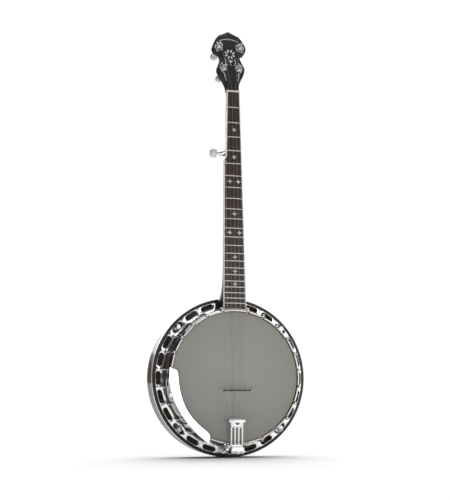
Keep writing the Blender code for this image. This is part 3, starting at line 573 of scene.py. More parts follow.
def round_box(shape, centre, size, radius, matrix=Matrix.Identity(4), edge=None):
    """A block with rounded upright corners and softened edges, thick along local Z."""
    x, y, z = centre
    w, h, d = (value / 2 for value in size)
    outline = fillet(rectangle(x - w, x + w, y - h, y + h), radius, 5)
    plate(shape, outline, (), z + d, z - d, min(radius, d * 0.8) if edge is None else edge, matrix)


def boolean(made, shape, operation, smooth=30.0):
    """Cut a solid out of a piece, or join it on, at once."""
    tool = bpy.data.objects.new("tool", mesh_of("tool", shape, made.data.materials))
    bpy.context.scene.collection.objects.link(tool)
    step = made.modifiers.new("step", "BOOLEAN")
    step.operation = operation
    step.object = tool
    step.solver = "EXACT"
    bpy.context.view_layer.update()
    result = bpy.data.meshes.new_from_object(made.evaluated_get(bpy.context.evaluated_depsgraph_get()))
    made.modifiers.clear()
    spent = (made.data, tool.data)
    made.data = result
    bpy.data.objects.remove(tool)
    for mesh in spent:
        bpy.data.meshes.remove(mesh)
    result.shade_smooth()
    result.set_sharp_from_angle(angle=math.radians(smooth))


def frame_at(location, tilt):
    """Local axes X right, Y up the slope, Z out of the face."""
    return Matrix.Translation(location) @ Matrix.Rotation(math.pi / 2 - tilt, 4, "X")


POT_AXIS = Matrix(((0, 1, 0, 0), (0, 0, 1, HEAD_Y), (1, 0, 0, 0), (0, 0, 0, 1)))
FACING = frame_at((0, HEAD_Y, 0), 0)
BOARD = frame_at((0, HEAD_Y + NUT_DEPTH, NUT_HEIGHT), NECK_PITCH)
HEADSTOCK = frame_at((BOARD_CENTRE_AT_NUT, HEAD_Y + NUT_DEPTH + 0.0035, NUT_HEIGHT + 0.0035), HEADSTOCK_PITCH)


def board_edges(below_nut):
    """The fingerboard's left and right edges; its left one steps out at the fifth string's shelf."""
    part = below_nut / BOARD_LENGTH
    right = BOARD_CENTRE_AT_NUT + BOARD_HALF_AT_NUT
    right += part * (BOARD_HALF_AT_END - right)
    if below_nut >= SHELF:
        share = (below_nut - SHELF) / (BOARD_LENGTH - SHELF)
        left = -(BOARD_HALF_AT_SHELF + (BOARD_HALF_AT_END - BOARD_HALF_AT_SHELF) * share)
    else:
        left = BOARD_CENTRE_AT_NUT - BOARD_HALF_AT_NUT
        left -= 0.0050 * below_nut / SHELF
    return left, right


def board_depth(z):
    return NUT_DEPTH - (NUT_HEIGHT - z) * math.tan(NECK_PITCH)


def hook_angles():
    return [side * (HOOK_FIRST + HOOK_STEP * index) for side in (1, -1) for index in range(HOOKS_PER_SIDE)]


def slot_angles():
    sides = [side * (SLOT_FIRST + SLOT_STEP * index) for side in (1, -1) for index in range(SLOTS_PER_SIDE)]
    return [*sides, 180.0]


def mirrored(half, middle=()):
    """A half outline, the points on the centre line, and the half's mirror image."""
    return [*half, *middle, *(Vector((-point.x, point.y)) for point in reversed(half))]


def heel_outline(half_width, top, bottom, z, steps=40):
    depth = bottom - top
    turns = [math.pi * step / steps for step in range(steps + 1)]
    return [Vector((half_width * math.cos(turn), HEAD_Y + top + depth * math.sin(turn), z)) for turn in turns]


def prism(outline, along):
    """A closed solid swept straight from a planar outline."""
    shape = bmesh.new()
    loft(shape, [[shape.verts.new(Vector(point) + shift) for point in outline] for shift in (Vector(), along)])
    return shape


# ---- Pot ----
def make_rim():
    """The maple rim, stepped in front for the tone ring."""
    front, step_radius, step_depth = 0.0083, 0.1362, 0.0203
    profile = fillet([(RIM_BORE, front), (step_radius, front), (step_radius, step_depth),
                      (RIM_RADIUS, step_depth), (RIM_RADIUS, RIM_BACK), (RIM_BORE, RIM_BACK)], 0.0008, 3)
    piece("rim_wood", turned(bmesh.new(), profile, 144), [RIM_WOOD], slot="stained_maple", replaces="rim")


def make_head():
    """The film, bent over at its edge and crimped into its flesh hoop."""
    film, bend, shoulder, back = 0.00035, 0.0030, HEAD_RADIUS - 0.0050, 0.0152
    corner = [(HEAD_RADIUS - bend + bend * math.sin(turn), 0.0012 - 0.0012 * math.cos(turn))
              for turn in (math.pi / 2 * step / 6 for step in range(7))]
    profile = [(0.0, 0.0), (0.03, 0.0), (0.08, 0.0), (0.12, 0.0), (shoulder, 0.0), *corner,
               (HEAD_RADIUS, HOOP_LEDGE), (FLESH_HOOP_RADIUS - 0.0006, HOOP_LEDGE),
               (FLESH_HOOP_RADIUS, HOOP_LEDGE + 0.0006), (FLESH_HOOP_RADIUS, back), (HEAD_RADIUS - film, back)]
    profile += [(radius - film, depth + film) for radius, depth in reversed(corner)]
    profile += [(shoulder, film), (0.0, film)]
    shape = turned(bmesh.new(), profile, 180, closed=False, looks=lambda radius, depth: int(depth > 0.0090))
    piece("drum_membrane", shape, [MEMBRANE, NICKEL], slot="frosted_membrane", replaces="drum_head")


def make_hoop():
    """The tension hoop, with a notch for each hook's claw."""
    inner = HEAD_RADIUS + 0.0004
    ledge = HOOP_LEDGE - GAP
    skirt = FLESH_HOOP_RADIUS + 0.0004
    profile = fillet([(inner, HOOP_TOP, 0.0012), (HOOP_TOP_RADIUS, HOOP_TOP, 0.0012),
                      (HOOP_TOP_RADIUS, ledge - 0.002, 0.0006), (HOOP_RADIUS, ledge, 0.0006),
                      (HOOP_RADIUS, HOOP_BOTTOM, 0.0008), (skirt, HOOP_BOTTOM, 0.0002),
                      (skirt, ledge, 0.0), (inner, ledge, 0.0002)], 0.0005, 4)
    made = piece("tension_ring", turned(bmesh.new(), profile, 240), [SHADED_CHROME], replaces="tension_hoop")
    notches = bmesh.new()
    half_width, half_depth, half_reach = 0.0039, 0.0050, 0.0050
    outline = fillet(rectangle(-half_width, half_width, -half_depth, half_depth), 0.0012, 3)
    for degrees in hook_angles():
        matrix = Matrix.Translation(on_circle(0.1430, degrees, -0.0024)) @ around(degrees)
        loft(notches, [[notches.verts.new(matrix @ Vector((point.x, -point.y, height))) for point in outline]
                       for height in (-half_reach, half_reach)])
    boolean(made, notches, "DIFFERENCE")


def flange_slot(degrees, steps=10):
    """A round-ended slot's outline in the flange's plane as (x, z)."""
    middle = (SLOT_INNER + SLOT_OUTER) / 2
    half = (SLOT_OUTER - SLOT_INNER) / 2
    straight = SLOT_HALF_ANGLE - math.degrees(half / middle)
    places = []
    for side, start in ((1, -90), (-1, 90)):
        places += [(middle - side * half, side * straight * share) for share in (-0.6, -0.2, 0.2, 0.6)]
        for step in range(steps + 1):
            bend = math.radians(start + 180 * step / steps)
            places.append((middle + half * math.sin(bend),
                           side * straight + math.degrees(half * math.cos(bend) / middle)))
    spots = [on_circle(radius, degrees + swing, 0) for radius, swing in places]
    return [(spot.x, spot.z) for spot in spots]


def make_flange():
    """The one-piece flange: a slotted plate with rolled edges on a tube-like inner band."""
    inner, bead = RIM_RADIUS + 0.0004, 0.0011
    half_notch, notch_floor = BOARD_HALF_AT_END + 0.0006, 0.1555
    cut_angle = math.asin(half_notch / FLANGE_RADIUS)
    steps = 220
    turns = [cut_angle + (math.tau - 2 * cut_angle) * step / steps for step in range(steps + 1)]
    outer = [(FLANGE_RADIUS * math.sin(turn), FLANGE_RADIUS * math.cos(turn)) for turn in turns]
    outer += [(-half_notch, notch_floor), (half_notch, notch_floor)]
    bore = [(across, up) for up, across in circle(inner, 180)]
    shape = bmesh.new()
    plate(shape, outer, [bore, *(flange_slot(degrees) for degrees in slot_angles())],
          -FLANGE_FRONT, -FLANGE_FRONT - FLANGE_PLATE, 0.0004, FACING, back_edge=0.0003)
    band_top = FLANGE_FRONT + FLANGE_PLATE * 0.5
    turned(shape, fillet([(inner, band_top), (FLANGE_BAND_RADIUS, band_top),
                          (FLANGE_BAND_RADIUS, FLANGE_BAND_BACK, 0.0030),
                          (inner, FLANGE_BAND_BACK, 0.0010)], 0.0, 5))
    turned(shape, circle(bead, 12, inner + bead + 0.0002, FLANGE_FRONT - 0.0002))
    piece("flange_casting", shape, [CAST_CHROME], replaces="flange", smooth=40)


def make_hooks():
    """One bracket hook with its claw, threaded shank and chamfered tube nut, repeated round the pot."""
    flat_wide, flat_thick, flat_power, rod_radius = 0.0026, 0.00060, 0.45, 0.00215
    flat_until, round_after = 22, 38
    rod_end = 0.0629
    path = catmull([(0.1421, 0.0008), (0.1421, -0.0012), (0.1431, -0.0024), (0.1452, -0.0028),
                    (0.1474, -0.0027), (0.1491, -0.0016), (0.1499, 0.0012), (HOOK_CIRCLE, 0.0060),
                    (HOOK_CIRCLE, 0.0120)], 5)
    path.append(Vector((HOOK_CIRCLE, rod_end)))
    shape = bmesh.new()
    rows = []
    for index, point in enumerate(path):
        tangent = (path[min(index + 1, len(path) - 1)] - path[max(index - 1, 0)]).normalized()
        normal = Vector((tangent.y, -tangent.x))
        share = min(max((index - flat_until) / (round_after - flat_until), 0.0), 1.0)
        share = share * share * (3 - 2 * share)
        wide = flat_wide + (rod_radius - flat_wide) * share
        thick = flat_thick + (rod_radius - flat_thick) * share
        power = flat_power + (1.0 - flat_power) * share
        row = []
        for c, s in circle(1.0, 16):
            spot = point + normal * (thick * math.copysign(abs(s) ** power, s))
            row.append(shape.verts.new((wide * math.copysign(abs(c) ** power, c), spot.y, spot.x)))
        rows.append(row)
    loft(shape, rows)
    nut, nut_length = FLANGE_BAND_BACK + GAP, 0.0115
    upright = Matrix.Translation((0, 0, HOOK_CIRCLE)) @ quarter_turns("X", -1)
    plate(shape, circle(0.0046, 6), (), nut + nut_length, nut, 0.0005, upright)
    washer = [(radius, nut + height) for radius, height in ((0.0024, -0.0002), (0.0044, -0.0002),
                                                            (0.0044, 0.0010), (0.0024, 0.0010))]
    lathe(shape, washer, 24, upright)
    mesh = mesh_of("bracket_hook", shape, [SHADED_CHROME])
    for number, degrees in enumerate(hook_angles(), start=1):
        linked(f"bracket_{number:02d}", mesh, Matrix.Translation((0, HEAD_Y, 0)) @ around(degrees),
               replaces=f"hook_{number:02d}")


def make_resonator():
    """The bowl: mahogany with a black front edge, cream binding on both edges and a light inside."""
    outside, front, wall = RESONATOR_RADIUS, RESONATOR_FRONT, RESONATOR_WALL_INSIDE
    edge_end, binding_end = front + 0.0028, front + 0.0078
    profile = [(0.0, 0.1130), (0.0600, 0.1130), (0.0605, 0.1130), (0.0950, 0.11245), (0.1300, 0.1116),
               (0.1500, 0.1108), (0.1640, 0.1100), (0.1668, 0.1097), (0.1688, 0.1091), (0.1701, 0.1080),
               (0.1707, 0.1065), (0.17085, 0.1040), (0.17085, 0.0900), (0.17085, 0.0640), (0.1712, 0.0590),
               (0.1720, 0.0545), (outside, binding_end), (outside, edge_end), (outside, front + 0.0006),
               (outside - 0.0005, front), (wall + 0.0005, front), (wall, front + 0.0005), (wall, 0.0940),
               (0.1650, 0.1000), (0.1610, 0.1035), (0.1300, 0.1060), (0.0600, 0.1074), (0.0, 0.1074)]

    def looks(radius, depth):
        if radius > wall + 0.0002 and depth < binding_end:
            return 2 if depth < edge_end else 1
        if radius > 0.1668 and depth > 0.1080:
            return 1
        return 3 if radius <= wall + 0.0002 and depth < 0.1075 else 0

    shape = turned(bmesh.new(), profile, 240, closed=False, looks=looks)
    made = piece("resonator_bowl", shape, [MAHOGANY, BINDING, BLACK_LACQUER, BOWL_INSIDE], slot="mahogany",
                 replaces="resonator")
    heel_front, heel_back, cut_from, cut_height = 0.0050, 0.0985, 0.1400, 0.045
    heel = heel_outline(BOARD_HALF_AT_END + 0.0006, heel_front, heel_back, cut_from)
    boolean(made, prism(heel, Vector((0, 0, cut_height))), "DIFFERENCE", 25)


def make_purfling():
    """Two fine rings let into the back."""
    shape = bmesh.new()
    width = 0.0008
    for radius in (0.1290, 0.1262):
        depth = 0.1116 + (0.1300 - radius) * 0.03
        turned(shape, rectangle(radius - width, radius, depth - 0.0006, depth + 0.00025))
    piece("back_purfling", shape, [BINDING], slot="mahogany")


def make_lugs():
    """The plates inside the resonator that the thumb screws enter."""
    lug_circle = 0.1605
    shape = bmesh.new()
    for name in sorted(JOINTS):
        if name.startswith("thumb_screw"):
            spot = Vector(JOINTS[name]["pos_m"])
            degrees = math.degrees(math.atan2(spot.x, spot.z))
            matrix = Matrix.Translation(on_circle(lug_circle, degrees, 0.0575)) @ around(degrees) \
                @ quarter_turns("X", 1)
            bore = circle(0.0026, 20, 0.0, THUMB_SCREW_CIRCLE - lug_circle)
            plate(shape, fillet(rectangle(-0.0080, 0.0080, -0.0085, 0.0068), 0.002, 4), [bore],
                  0.0015, -0.0015, 0.0004, matrix)
    piece("resonator_lugs", shape, [NICKEL], slot="nickel")


def make_thumb_screws():
    """A fluted head over a washer and a threaded shank."""
    shape = bmesh.new()
    head = fillet([(0.0, 0.0096, 0.0), (0.0060, 0.0096, 0.0012), (0.0064, 0.0060), (0.0062, 0.0030, 0.0006),
                   (0.0048, 0.0024, 0.0004), (0.0078, 0.0021, 0.0004), (0.0080, 0.0004, 0.0002),
                   (0.0024, 0.0003, 0.0), (0.0023, -0.0210, 0.0003), (0.0, -0.0210, 0.0)], 0.0005, 4)
    lathe(shape, [(abs(point.x), point.y) for point in head], 96, flutes=16, flute_depth=0.0007,
          flute_span=(0.0028, 0.0093))
    mesh = mesh_of("thumb_screw_head", shape, [SHADED_CHROME], 35)
    for number in range(1, 5):
        body = f"thumb_screw_{number}"
        matrix = Matrix.Translation(JOINTS[body + "_turn"]["pos_m"]) @ quarter_turns("X", 1)
        linked(f"lug_screw_{number}", mesh, matrix, body, replaces=body)


# ---- Neck ----
def headstock_outline(steps=6):
    """The headstock's outline in its own frame: its right half, then the same mirrored."""
    lower = [(0.0142, 0.0015), (0.0155, 0.0140), (0.0200, 0.0255), (0.0275, 0.0400),
             (0.0318, 0.0570), (0.0262, 0.0730), (0.0226, 0.0850), (0.0250, 0.0950)]
    curl = [(0.0250, 0.0950), (0.0312, 0.0966), (0.0358, 0.1005), (0.0385, 0.1085),
            (0.0384, 0.1160), (0.0318, 0.1310), (0.0235, 0.1420)]
    tip = [(0.0235, 0.1420), (0.0100, 0.1485), (0.0, 0.1540)]
    half = []
    for section in (lower, curl, tip):
        half += catmull(section, steps)[:-1]
    half.append(Vector((0, tip[-1][1])))
    return mirrored(half[:-1], [half[-1]])


def neck_sections():
    """The neck's height, front, depth, left and right, from the heel up to behind the headstock."""
    thickness = [(0.1300, 0.0920), (0.1500, 0.0920), (0.1640, 0.0890), (0.1720, 0.0800),
                 (0.1790, 0.0660), (0.1880, 0.0520), (0.2000, 0.0400), (0.2180, 0.0300),
                 (0.2450, 0.0240), (0.3000, 0.0215), (0.4000, 0.0205), (0.4700, 0.0200),
                 (0.4790, 0.0200), (0.4850, 0.0198), (0.5600, 0.0190), (0.6375, 0.0180)]
    sections = []
    for z, deep in catmull(thickness, 5):
        left, right = board_edges(min(NUT_HEIGHT - z, BOARD_LENGTH))
        sections.append((z, board_depth(z) + BOARD_THICKNESS + GAP, deep, left, right))
    nut_left, nut_right = board_edges(0)
    top = sections[-1][1]
    volute = [(NUT_HEIGHT, top, 0.0180, nut_left, nut_right),
              (NUT_HEIGHT + 0.0105, top + 0.0030, 0.0160, nut_left + 0.0005, nut_right - 0.0005),
              (NUT_HEIGHT + 0.0260, top + 0.0095, 0.0070, nut_left + 0.003, nut_right - 0.003)]
    for low, high in zip(volute, volute[1:]):
        for share in (0.25, 0.5, 0.75, 1.0):
            sections.append(tuple(a + (b - a) * share for a, b in zip(low, high)))
    return sections


def make_neck():
    """The neck and heel, fuller below the fifth string's shoulder, with the headstock joined on."""
    shape = bmesh.new()
    sides = 28
    rings = []
    for z, top, deep, left, right in neck_sections():
        centre, half = (left + right) / 2, (right - left) / 2
        fullness = 1.0 - 0.45 * min(max((z - FIFTH_SHOULDER_Z) / 0.10, 0.0), 1.0)
        ring = []
        for turn in (math.pi * step / sides for step in range(sides + 1)):
            across = math.copysign(abs(math.cos(turn)) ** fullness, math.cos(turn))
            ring.append(shape.verts.new((centre + half * across, HEAD_Y + top + deep * math.sin(turn), z)))
        rings.append(ring)
    loft(shape, rings)
    made = piece("neck_wood", shape, [NECK_WOOD, BLACK_LACQUER], slot="dark_neck_wood", replaces="neck")
    blank = bmesh.new()
    plate(blank, headstock_outline(), (), 0.0, -HEADSTOCK_THICKNESS, 0.0005, HEADSTOCK, 1, 0)
    boolean(made, blank, "UNION")
    clear = 2 * GAP
    hoop, rim, before, behind = HOOP_RADIUS + clear, RIM_RADIUS + clear, -0.03, 0.12
    front, back, band = FLANGE_FRONT - clear, FLANGE_BAND_BACK + clear, 0.1580
    pot = [(0, before), (hoop, before), (hoop, HOOP_BOTTOM + clear), (rim, HOOP_BOTTOM + clear), (rim, front),
           (band, front), (band, back), (rim, back), (rim, behind), (0, behind)]
    boolean(made, turned(bmesh.new(), pot, 120, closed=False), "DIFFERENCE")
    bores = bmesh.new()
    for x, y in POSTS:
        lathe(bores, [(0, -0.020), (0.0050, -0.020), (0.0050, 0.005), (0, 0.005)], 24,
              HEADSTOCK @ Matrix.Translation((x, y, 0)))
    boolean(made, bores, "DIFFERENCE")


def board_outline(inset=0.0):
    """The fingerboard's outline in its own frame, counter-clockwise from the nut's right corner."""
    arc = HOOP_TOP_RADIUS + 2 * GAP
    left_nut, right_nut = board_edges(0)
    shelf, above = (board_edges(SHELF - back)[0] for back in (0.0, 0.006))
    spread = math.degrees(math.asin(BOARD_HALF_AT_END / arc))
    ends = [on_circle(arc, spread * (1 - step / 8), 0) for step in range(17)]
    low_end = [(point.x, (point.z - NUT_HEIGHT) / math.cos(NECK_PITCH)) for point in ends]
    outline = [(right_nut, 0.0), *low_end, (shelf, -SHELF), ((shelf + above) / 2 - 0.0008, 0.0015 - SHELF),
               (above, 0.006 - SHELF), (left_nut, 0.0)]
    if area(outline) < 0:
        outline.reverse()
    return loop_offset(outline, inset) if inset else outline


def fret_distance(number):
    return SCALE_LENGTH * (1 - 2 ** (-number / 12))


def before_fret(number):
    return (fret_distance(number - 1) + fret_distance(number)) / 2


def make_fingerboard():
    """The rosewood board within its binding."""
    edge = 0.0016
    board, binding = bmesh.new(), bmesh.new()
    plate(board, board_outline(edge), (), 0.0, -BOARD_THICKNESS, 0.00015, BOARD)
    piece("board_rosewood", board, [ROSEWOOD], slot="rosewood", replaces="fingerboard")
    plate(binding, board_outline(), [board_outline(edge - 0.00005)], -0.00002, -BOARD_THICKNESS, 0.0003, BOARD)
    piece("board_binding", binding, [BINDING], slot="rosewood")


def make_frets():
    """Half-round wires whose ends are bevelled down to the binding."""
    foot, half, bevel = 0.00015, FRET_WIDTH / 2, 0.00085
    arch = [(half * math.cos(turn), foot + (FRET_HEIGHT - foot) * math.sin(turn))
            for turn in (math.pi * (1 - step / 8) for step in range(1, 8))]
    crown = [(-half, -0.0004), (-half, foot), *arch, (half, foot), (half, -0.0004)]
    shape = bmesh.new()
    for down in (fret_distance(number) for number in range(1, FRETS + 1)):
        left, right = board_edges(down)
        ends = ((left + 0.0005, bevel), (left + 0.0012, 0.0), (right - 0.0012, 0.0), (right - 0.0005, bevel))
        loft(shape, [[shape.verts.new(BOARD @ Vector((x, y - down, z - drop * (z > 0)))) for y, z in crown]
                     for x, drop in ends])
    piece("frets", shape, [FRET_METAL], slot="rosewood", smooth=50)


def make_nut():
    """The worn bone nut, and the fifth string's own pip."""
    left, right = board_edges(0)
    low, high, tall, worn = 0.0004, NUT_THICKNESS - 0.0014, NUT_PROUD * 0.6, 0.0003
    profile = fillet([(low, -BOARD_THICKNESS, 0.0), (high, -BOARD_THICKNESS, 0.0),
                      (high, tall - 0.0008, 0.0006), (low, tall, 0.0004)], 0.0004, 4)
    shape = bmesh.new()
    loft(shape, [[shape.verts.new(BOARD @ Vector((x, y, z - drop * (z > 0)))) for y, z in profile]
                 for x, drop in ((left, worn), (left + worn, 0.0), (right - worn, 0.0), (right, worn))])
    piece("nut", shape, [NUT_BONE], slot="rosewood")
    pip = bmesh.new()
    lathe(pip, [(0, 0.0019), (0.0010, 0.0019), (0.0013, 0.0016), (0.0013, -0.0010), (0, -0.0010)], 20,
          BOARD @ Matrix.Translation((-0.0150, -(SHELF + 0.0050), 0.0)))
    piece("fifth_string_pip", pip, [NUT_BONE], slot="rosewood")


def star(centre_x, centre_y, half_x, half_y, waist=0.30, steps=32):
    """A concave four-point marker outline."""
    outline = []
    for c, s in circle(1.0, steps):
        size = waist + (1 - waist) * abs(c * c - s * s) ** 2.2
        outline.append((centre_x + half_x * size * c, centre_y + half_y * size * s))
    return outline


def leaf(line, width, ends=0.12):
    """A tapered stroke's outline: widest in the middle, along a curved centre line."""
    points = catmull(line, 5)
    left, right = [], []
    count = len(points) - 1
    for index, point in enumerate(points):
        tangent = (points[min(index + 1, count)] - points[max(index - 1, 0)]).normalized()
        half = width / 2 * (ends + (1 - ends) * math.sin(math.pi * index / count) ** 0.8)
        normal = Vector((-tangent.y, tangent.x)) * half
        left.append(point + normal)
        right.append(point - normal)
    return right + left[::-1]


def inlay(name, outlines, matrix, slot):
    """Thin pearl plates let into a face."""
    shape = bmesh.new()
    for outline in outlines:
        plate(shape, outline, (), 0.00012, -0.0004, 0.00005, matrix, rounds=1)
    piece(name, shape, [PEARL], slot=slot)


def make_markers():
    """A star before each marked fret, and a dot beside it in the binding."""
    stars = {3: (0.0057,), 5: (0.0045,), 7: (-0.0065, 0.0129), 10: (0.0027,), 12: (-0.0088, 0.0133),
             15: (0.0021,), 17: (0.0015,), 19: (0.0015,)}
    inlay("board_markers", [star(x, -before_fret(fret), 0.0057, 0.0050) for fret in stars for x in stars[fret]],
          BOARD, "rosewood")
    shape = bmesh.new()
    for down in map(before_fret, stars):
        spot = (board_edges(down)[0] + 0.0001, -down, -BOARD_THICKNESS / 2)
        lathe(shape, [(0, 0.00025), (0.0009, 0.00025), (0.0010, 0.0), (0.0010, -0.0003), (0, -0.0003)], 16,
              BOARD @ Matrix.Translation(spot) @ quarter_turns("Y", -1))
    piece("side_dots", shape, [BLACK_LACQUER], slot="rosewood")


def make_headstock_inlays():
    """A flower, scrolls and vines in pearl, with a plain leaf scroll across the top (in millimetres)."""
    outlines = [leaf([Vector((0.0, 94.0)) + Vector(reach) * far for far in (5.4, 9.2, 12.8)], 4.3, 0.30)
                for reach in circle(1.0, 16)[1::2]]
    outlines.append(leaf([(0.0, 79.0), (0.0, 75.5), (0.0, 71.0)], 3.2, 0.35))
    outlines.append(leaf([(-4.6, 79.0), (-2.6, 75.0), (-0.4, 71.4)], 2.0, 0.2))
    outlines.append(leaf([(4.6, 79.0), (2.6, 75.0), (0.4, 71.4)], 2.0, 0.2))
    outlines.append(circle(1.5, 16, 0.0, 66.5))
    strokes = [
        ([(14.2, 84.0), (10.6, 79.5), (11.8, 72.5), (9.8, 66.0), (6.2, 65.2)], 2.0),
        ([(17.5, 72.0), (21.5, 68.2), (26.0, 63.8)], 2.2),
        ([(26.2, 65.5), (25.2, 57.0), (22.6, 49.5), (19.0, 44.2)], 2.1),
        ([(14.0, 63.8), (10.9, 60.2), (9.8, 54.0)], 2.0),
        ([(12.0, 63.4), (16.5, 65.2), (21.4, 62.6)], 2.6),
        ([(19.6, 45.6), (16.8, 42.4), (15.2, 38.0)], 2.6),
        ([(14.4, 40.6), (16.6, 36.0), (14.6, 30.0)], 2.4),
        ([(15.4, 30.6), (13.8, 27.4), (13.8, 23.6)], 1.8),
        ([(30.8, 121.0), (26.5, 123.4), (21.0, 122.4)], 3.4),
        ([(20.8, 122.0), (17.0, 119.0), (16.0, 113.0)], 3.0),
        ([(31.6, 118.0), (33.6, 112.5), (31.8, 106.0)], 2.6),
        ([(16.4, 112.0), (17.8, 106.5), (21.6, 103.4)], 2.6),
        ([(32.2, 105.0), (30.0, 101.0), (26.6, 99.4)], 2.2),
        ([(31.0, 107.5), (27.4, 103.6), (22.8, 103.0)], 2.0),
    ]
    scroll = ((5.2, 133.0, 2.6), (10.4, 132.2, 2.4), (15.6, 130.8, 2.2), (20.4, 128.8, 1.8))
    for side in (-1, 1):
        outlines += [leaf([(side * x, y) for x, y in line], width) for line, width in strokes]
        outlines += [leaf([(side * (reach - lean), height - 0.6), (side * reach, height + 0.5),
                           (side * (reach + lean), height - 1.0)], 2.3, 0.1) for reach, height, lean in scroll]
    outlines.append(star(0.0, 133.4, 2.8, 3.4, 0.25))
    inlay("headstock_inlays", [[(x / 1000, y / 1000) for x, y in outline] for outline in outlines], HEADSTOCK,
          "pearloid")


# ---- Pegs ----
def soft(points, radius=0.0004, steps=3):
    """An open (radius, height) profile from axis to axis, with its corners rounded."""
    rounded = fillet([(0.0, points[0][1], 0.0), *points, (0.0, points[-1][1], 0.0)], radius, steps)
    return [(max(point.x, 0.0), point.y) for point in rounded]


def windings(shape, radius, wire, first, pitch, count, steps, matrix=Matrix.Identity(4)):
    """The string's turns on a post."""
    for turn in range(count):
        ring = [matrix @ Vector((x, y, first - pitch * turn)) for x, y in circle(radius, steps)]
        tube(shape, ring, wire, 6, 1, closed=True)


def make_tuners():
    """A planetary tuner's case, post and button, repeated at the four places on the headstock."""
    back = -HEADSTOCK_THICKNESS - GAP
    bushing = [(0.0033, 0.0030, 0.0), (0.0056, 0.0030), (0.0060, 0.0014), (0.0064, 0.0010, 0.0002),
               (0.0064, 0.0002, 0.0), (0.0047, 0.0002, 0.0), (0.0047, back, 0.0)]
    housing = [(0.0047, back + 0.001, 0.0), (0.0086, back - 0.0001, 0.0004), (0.0086, back - 0.0118, 0.0010),
               (0.0076, back - 0.0128, 0.0004), (0.0070, back - 0.0165, 0.0008),
               (0.0050, back - 0.0185, 0.0006)]
    seam = [(radius, back - depth) for radius, depth in ((0.0, 0.0068), (0.00885, 0.0068), (0.00885, 0.0076),
                                                         (0.0, 0.0076))]
    case = bmesh.new()
    lathe(case, soft(bushing), 32)
    plate(case, circle(0.0060, 6), (), 0.0031, 0.0011, 0.0004)
    lathe(case, soft(housing), 40)
    lathe(case, seam, 40)
    post = bmesh.new()
    lathe(post, soft([(0.0030, 0.0158, 0.0006), (0.0030, 0.0122, 0.0005), (0.0024, 0.0100, 0.0005),
                      (0.0024, 0.0080, 0.0004), (0.0030, 0.0060, 0.0004), (0.0030, back - 0.0060, 0.0)]), 28)
    windings(post, 0.00285, 0.00031, 0.0094, 0.00060, 5, 24)
    button = bmesh.new()
    top = back - 0.0225
    pearl = [(0.0058, top + 0.0002, 0.0008), (0.0082, top - 0.0030, 0.0020), (0.0087, top - 0.0080, 0.0030),
             (0.0079, top - 0.0130, 0.0030), (0.0046, top - 0.0153, 0.0010)]
    lathe(button, soft([(0.0026, back - 0.0070, 0.0), (0.0026, top, 0.0)]), 20, material=1)
    lathe(button, soft(pearl, steps=5), 40)
    lathe(button, soft([(0.0034, top - 0.0158, 0.0004), (0.0036, top - 0.0148, 0.0)]), 24, material=1)
    # Painted shade: a thin near-black sheet on the button's end stands for its screw slot.
    slot_shade_outline = rectangle(-0.0022, 0.0022, -0.0004, 0.0004)
    plate(button, slot_shade_outline, (), top - 0.01575, top - 0.01590, 0.00005, material=2, rounds=1)
    meshes = {"case": mesh_of("peg_case", case, [CHROME]), "post": mesh_of("peg_post", post, [CHROME, STEEL]),
              "button": mesh_of("peg_button", button, [PEARLOID, CHROME, SLOT_SHADE], 40)}
    for number, (x, y) in enumerate(POSTS, start=1):
        for part, mesh in meshes.items():
            node = f"tuner_{part}_{number}"
            linked(f"peg_{part}_{number}", mesh, HEADSTOCK @ Matrix.Translation((x, y, 0)),
                   "root" if part == "case" else node, "pearloid" if part == "button" else "chrome", node)


def make_fifth_peg():
    """The geared fifth peg: a case along the peg, a post out of it and a pearloid button at its end."""
    centre = Matrix.Translation(JOINTS["fifth_peg_button_turn"]["pos_m"])
    across, front = centre @ quarter_turns("Y", -1), centre @ quarter_turns("X", 1)
    case = bmesh.new()
    lathe(case, soft([(0.0045, 0.0105, 0.0006), (0.0046, 0.0066, 0.0004), (0.0066, 0.0064, 0.0012),
                      (0.0068, -0.0060, 0.0010), (0.0030, -0.0062, 0.0), (0.0027, -0.0155, 0.0004)], steps=4),
          36, across)
    lathe(case, soft([(0.0040, 0.0090, 0.0005), (0.0046, 0.0078, 0.0004), (0.0046, 0.0, 0.0)]), 28, front)
    piece("fifth_case", case, [CHROME], replaces="fifth_peg_case")
    post = bmesh.new()
    lathe(post, soft([(0.0026, 0.0198, 0.0006), (0.0026, 0.0176, 0.0005), (0.0020, 0.0156, 0.0004),
                      (0.0020, 0.0144, 0.0004), (0.0026, 0.0130, 0.0004), (0.0026, -0.0020, 0.0)]), 24, front)
    windings(post, 0.00240, 0.00026, 0.0157, 0.0005, 4, 20, front)
    piece("fifth_post", post, [CHROME, STEEL], body="fifth_peg_post", replaces="fifth_peg_post")
    button = bmesh.new()
    pearl = [(0.0056, 0.0114, 0.0008), (0.0094, 0.0136, 0.0020), (0.0112, 0.0190, 0.0040),
             (0.0104, 0.0245, 0.0030), (0.0060, 0.0283, 0.0015)]
    lathe(button, soft([(0.0020, 0.0042, 0.0), (0.0020, 0.0116, 0.0)]), 20, across, 1)
    lathe(button, soft(pearl, steps=5), 40, across)
    lathe(button, soft([(0.0036, 0.0268, 0.0), (0.0036, 0.02845, 0.0005)]), 24, across, 1)
    # Painted shade: a thin near-black sheet on the button's end stands for its screw slot.
    slot_shade_outline = rectangle(-0.0024, 0.0024, -0.0004, 0.0004)
    plate(button, slot_shade_outline, (), 0.02850, 0.0280, 0.00005, across, 2, rounds=1)
    piece("fifth_button", button, [PEARLOID, CHROME, SLOT_SHADE], body="fifth_peg_button", slot="pearloid",
          replaces="fifth_peg_button", smooth=40)


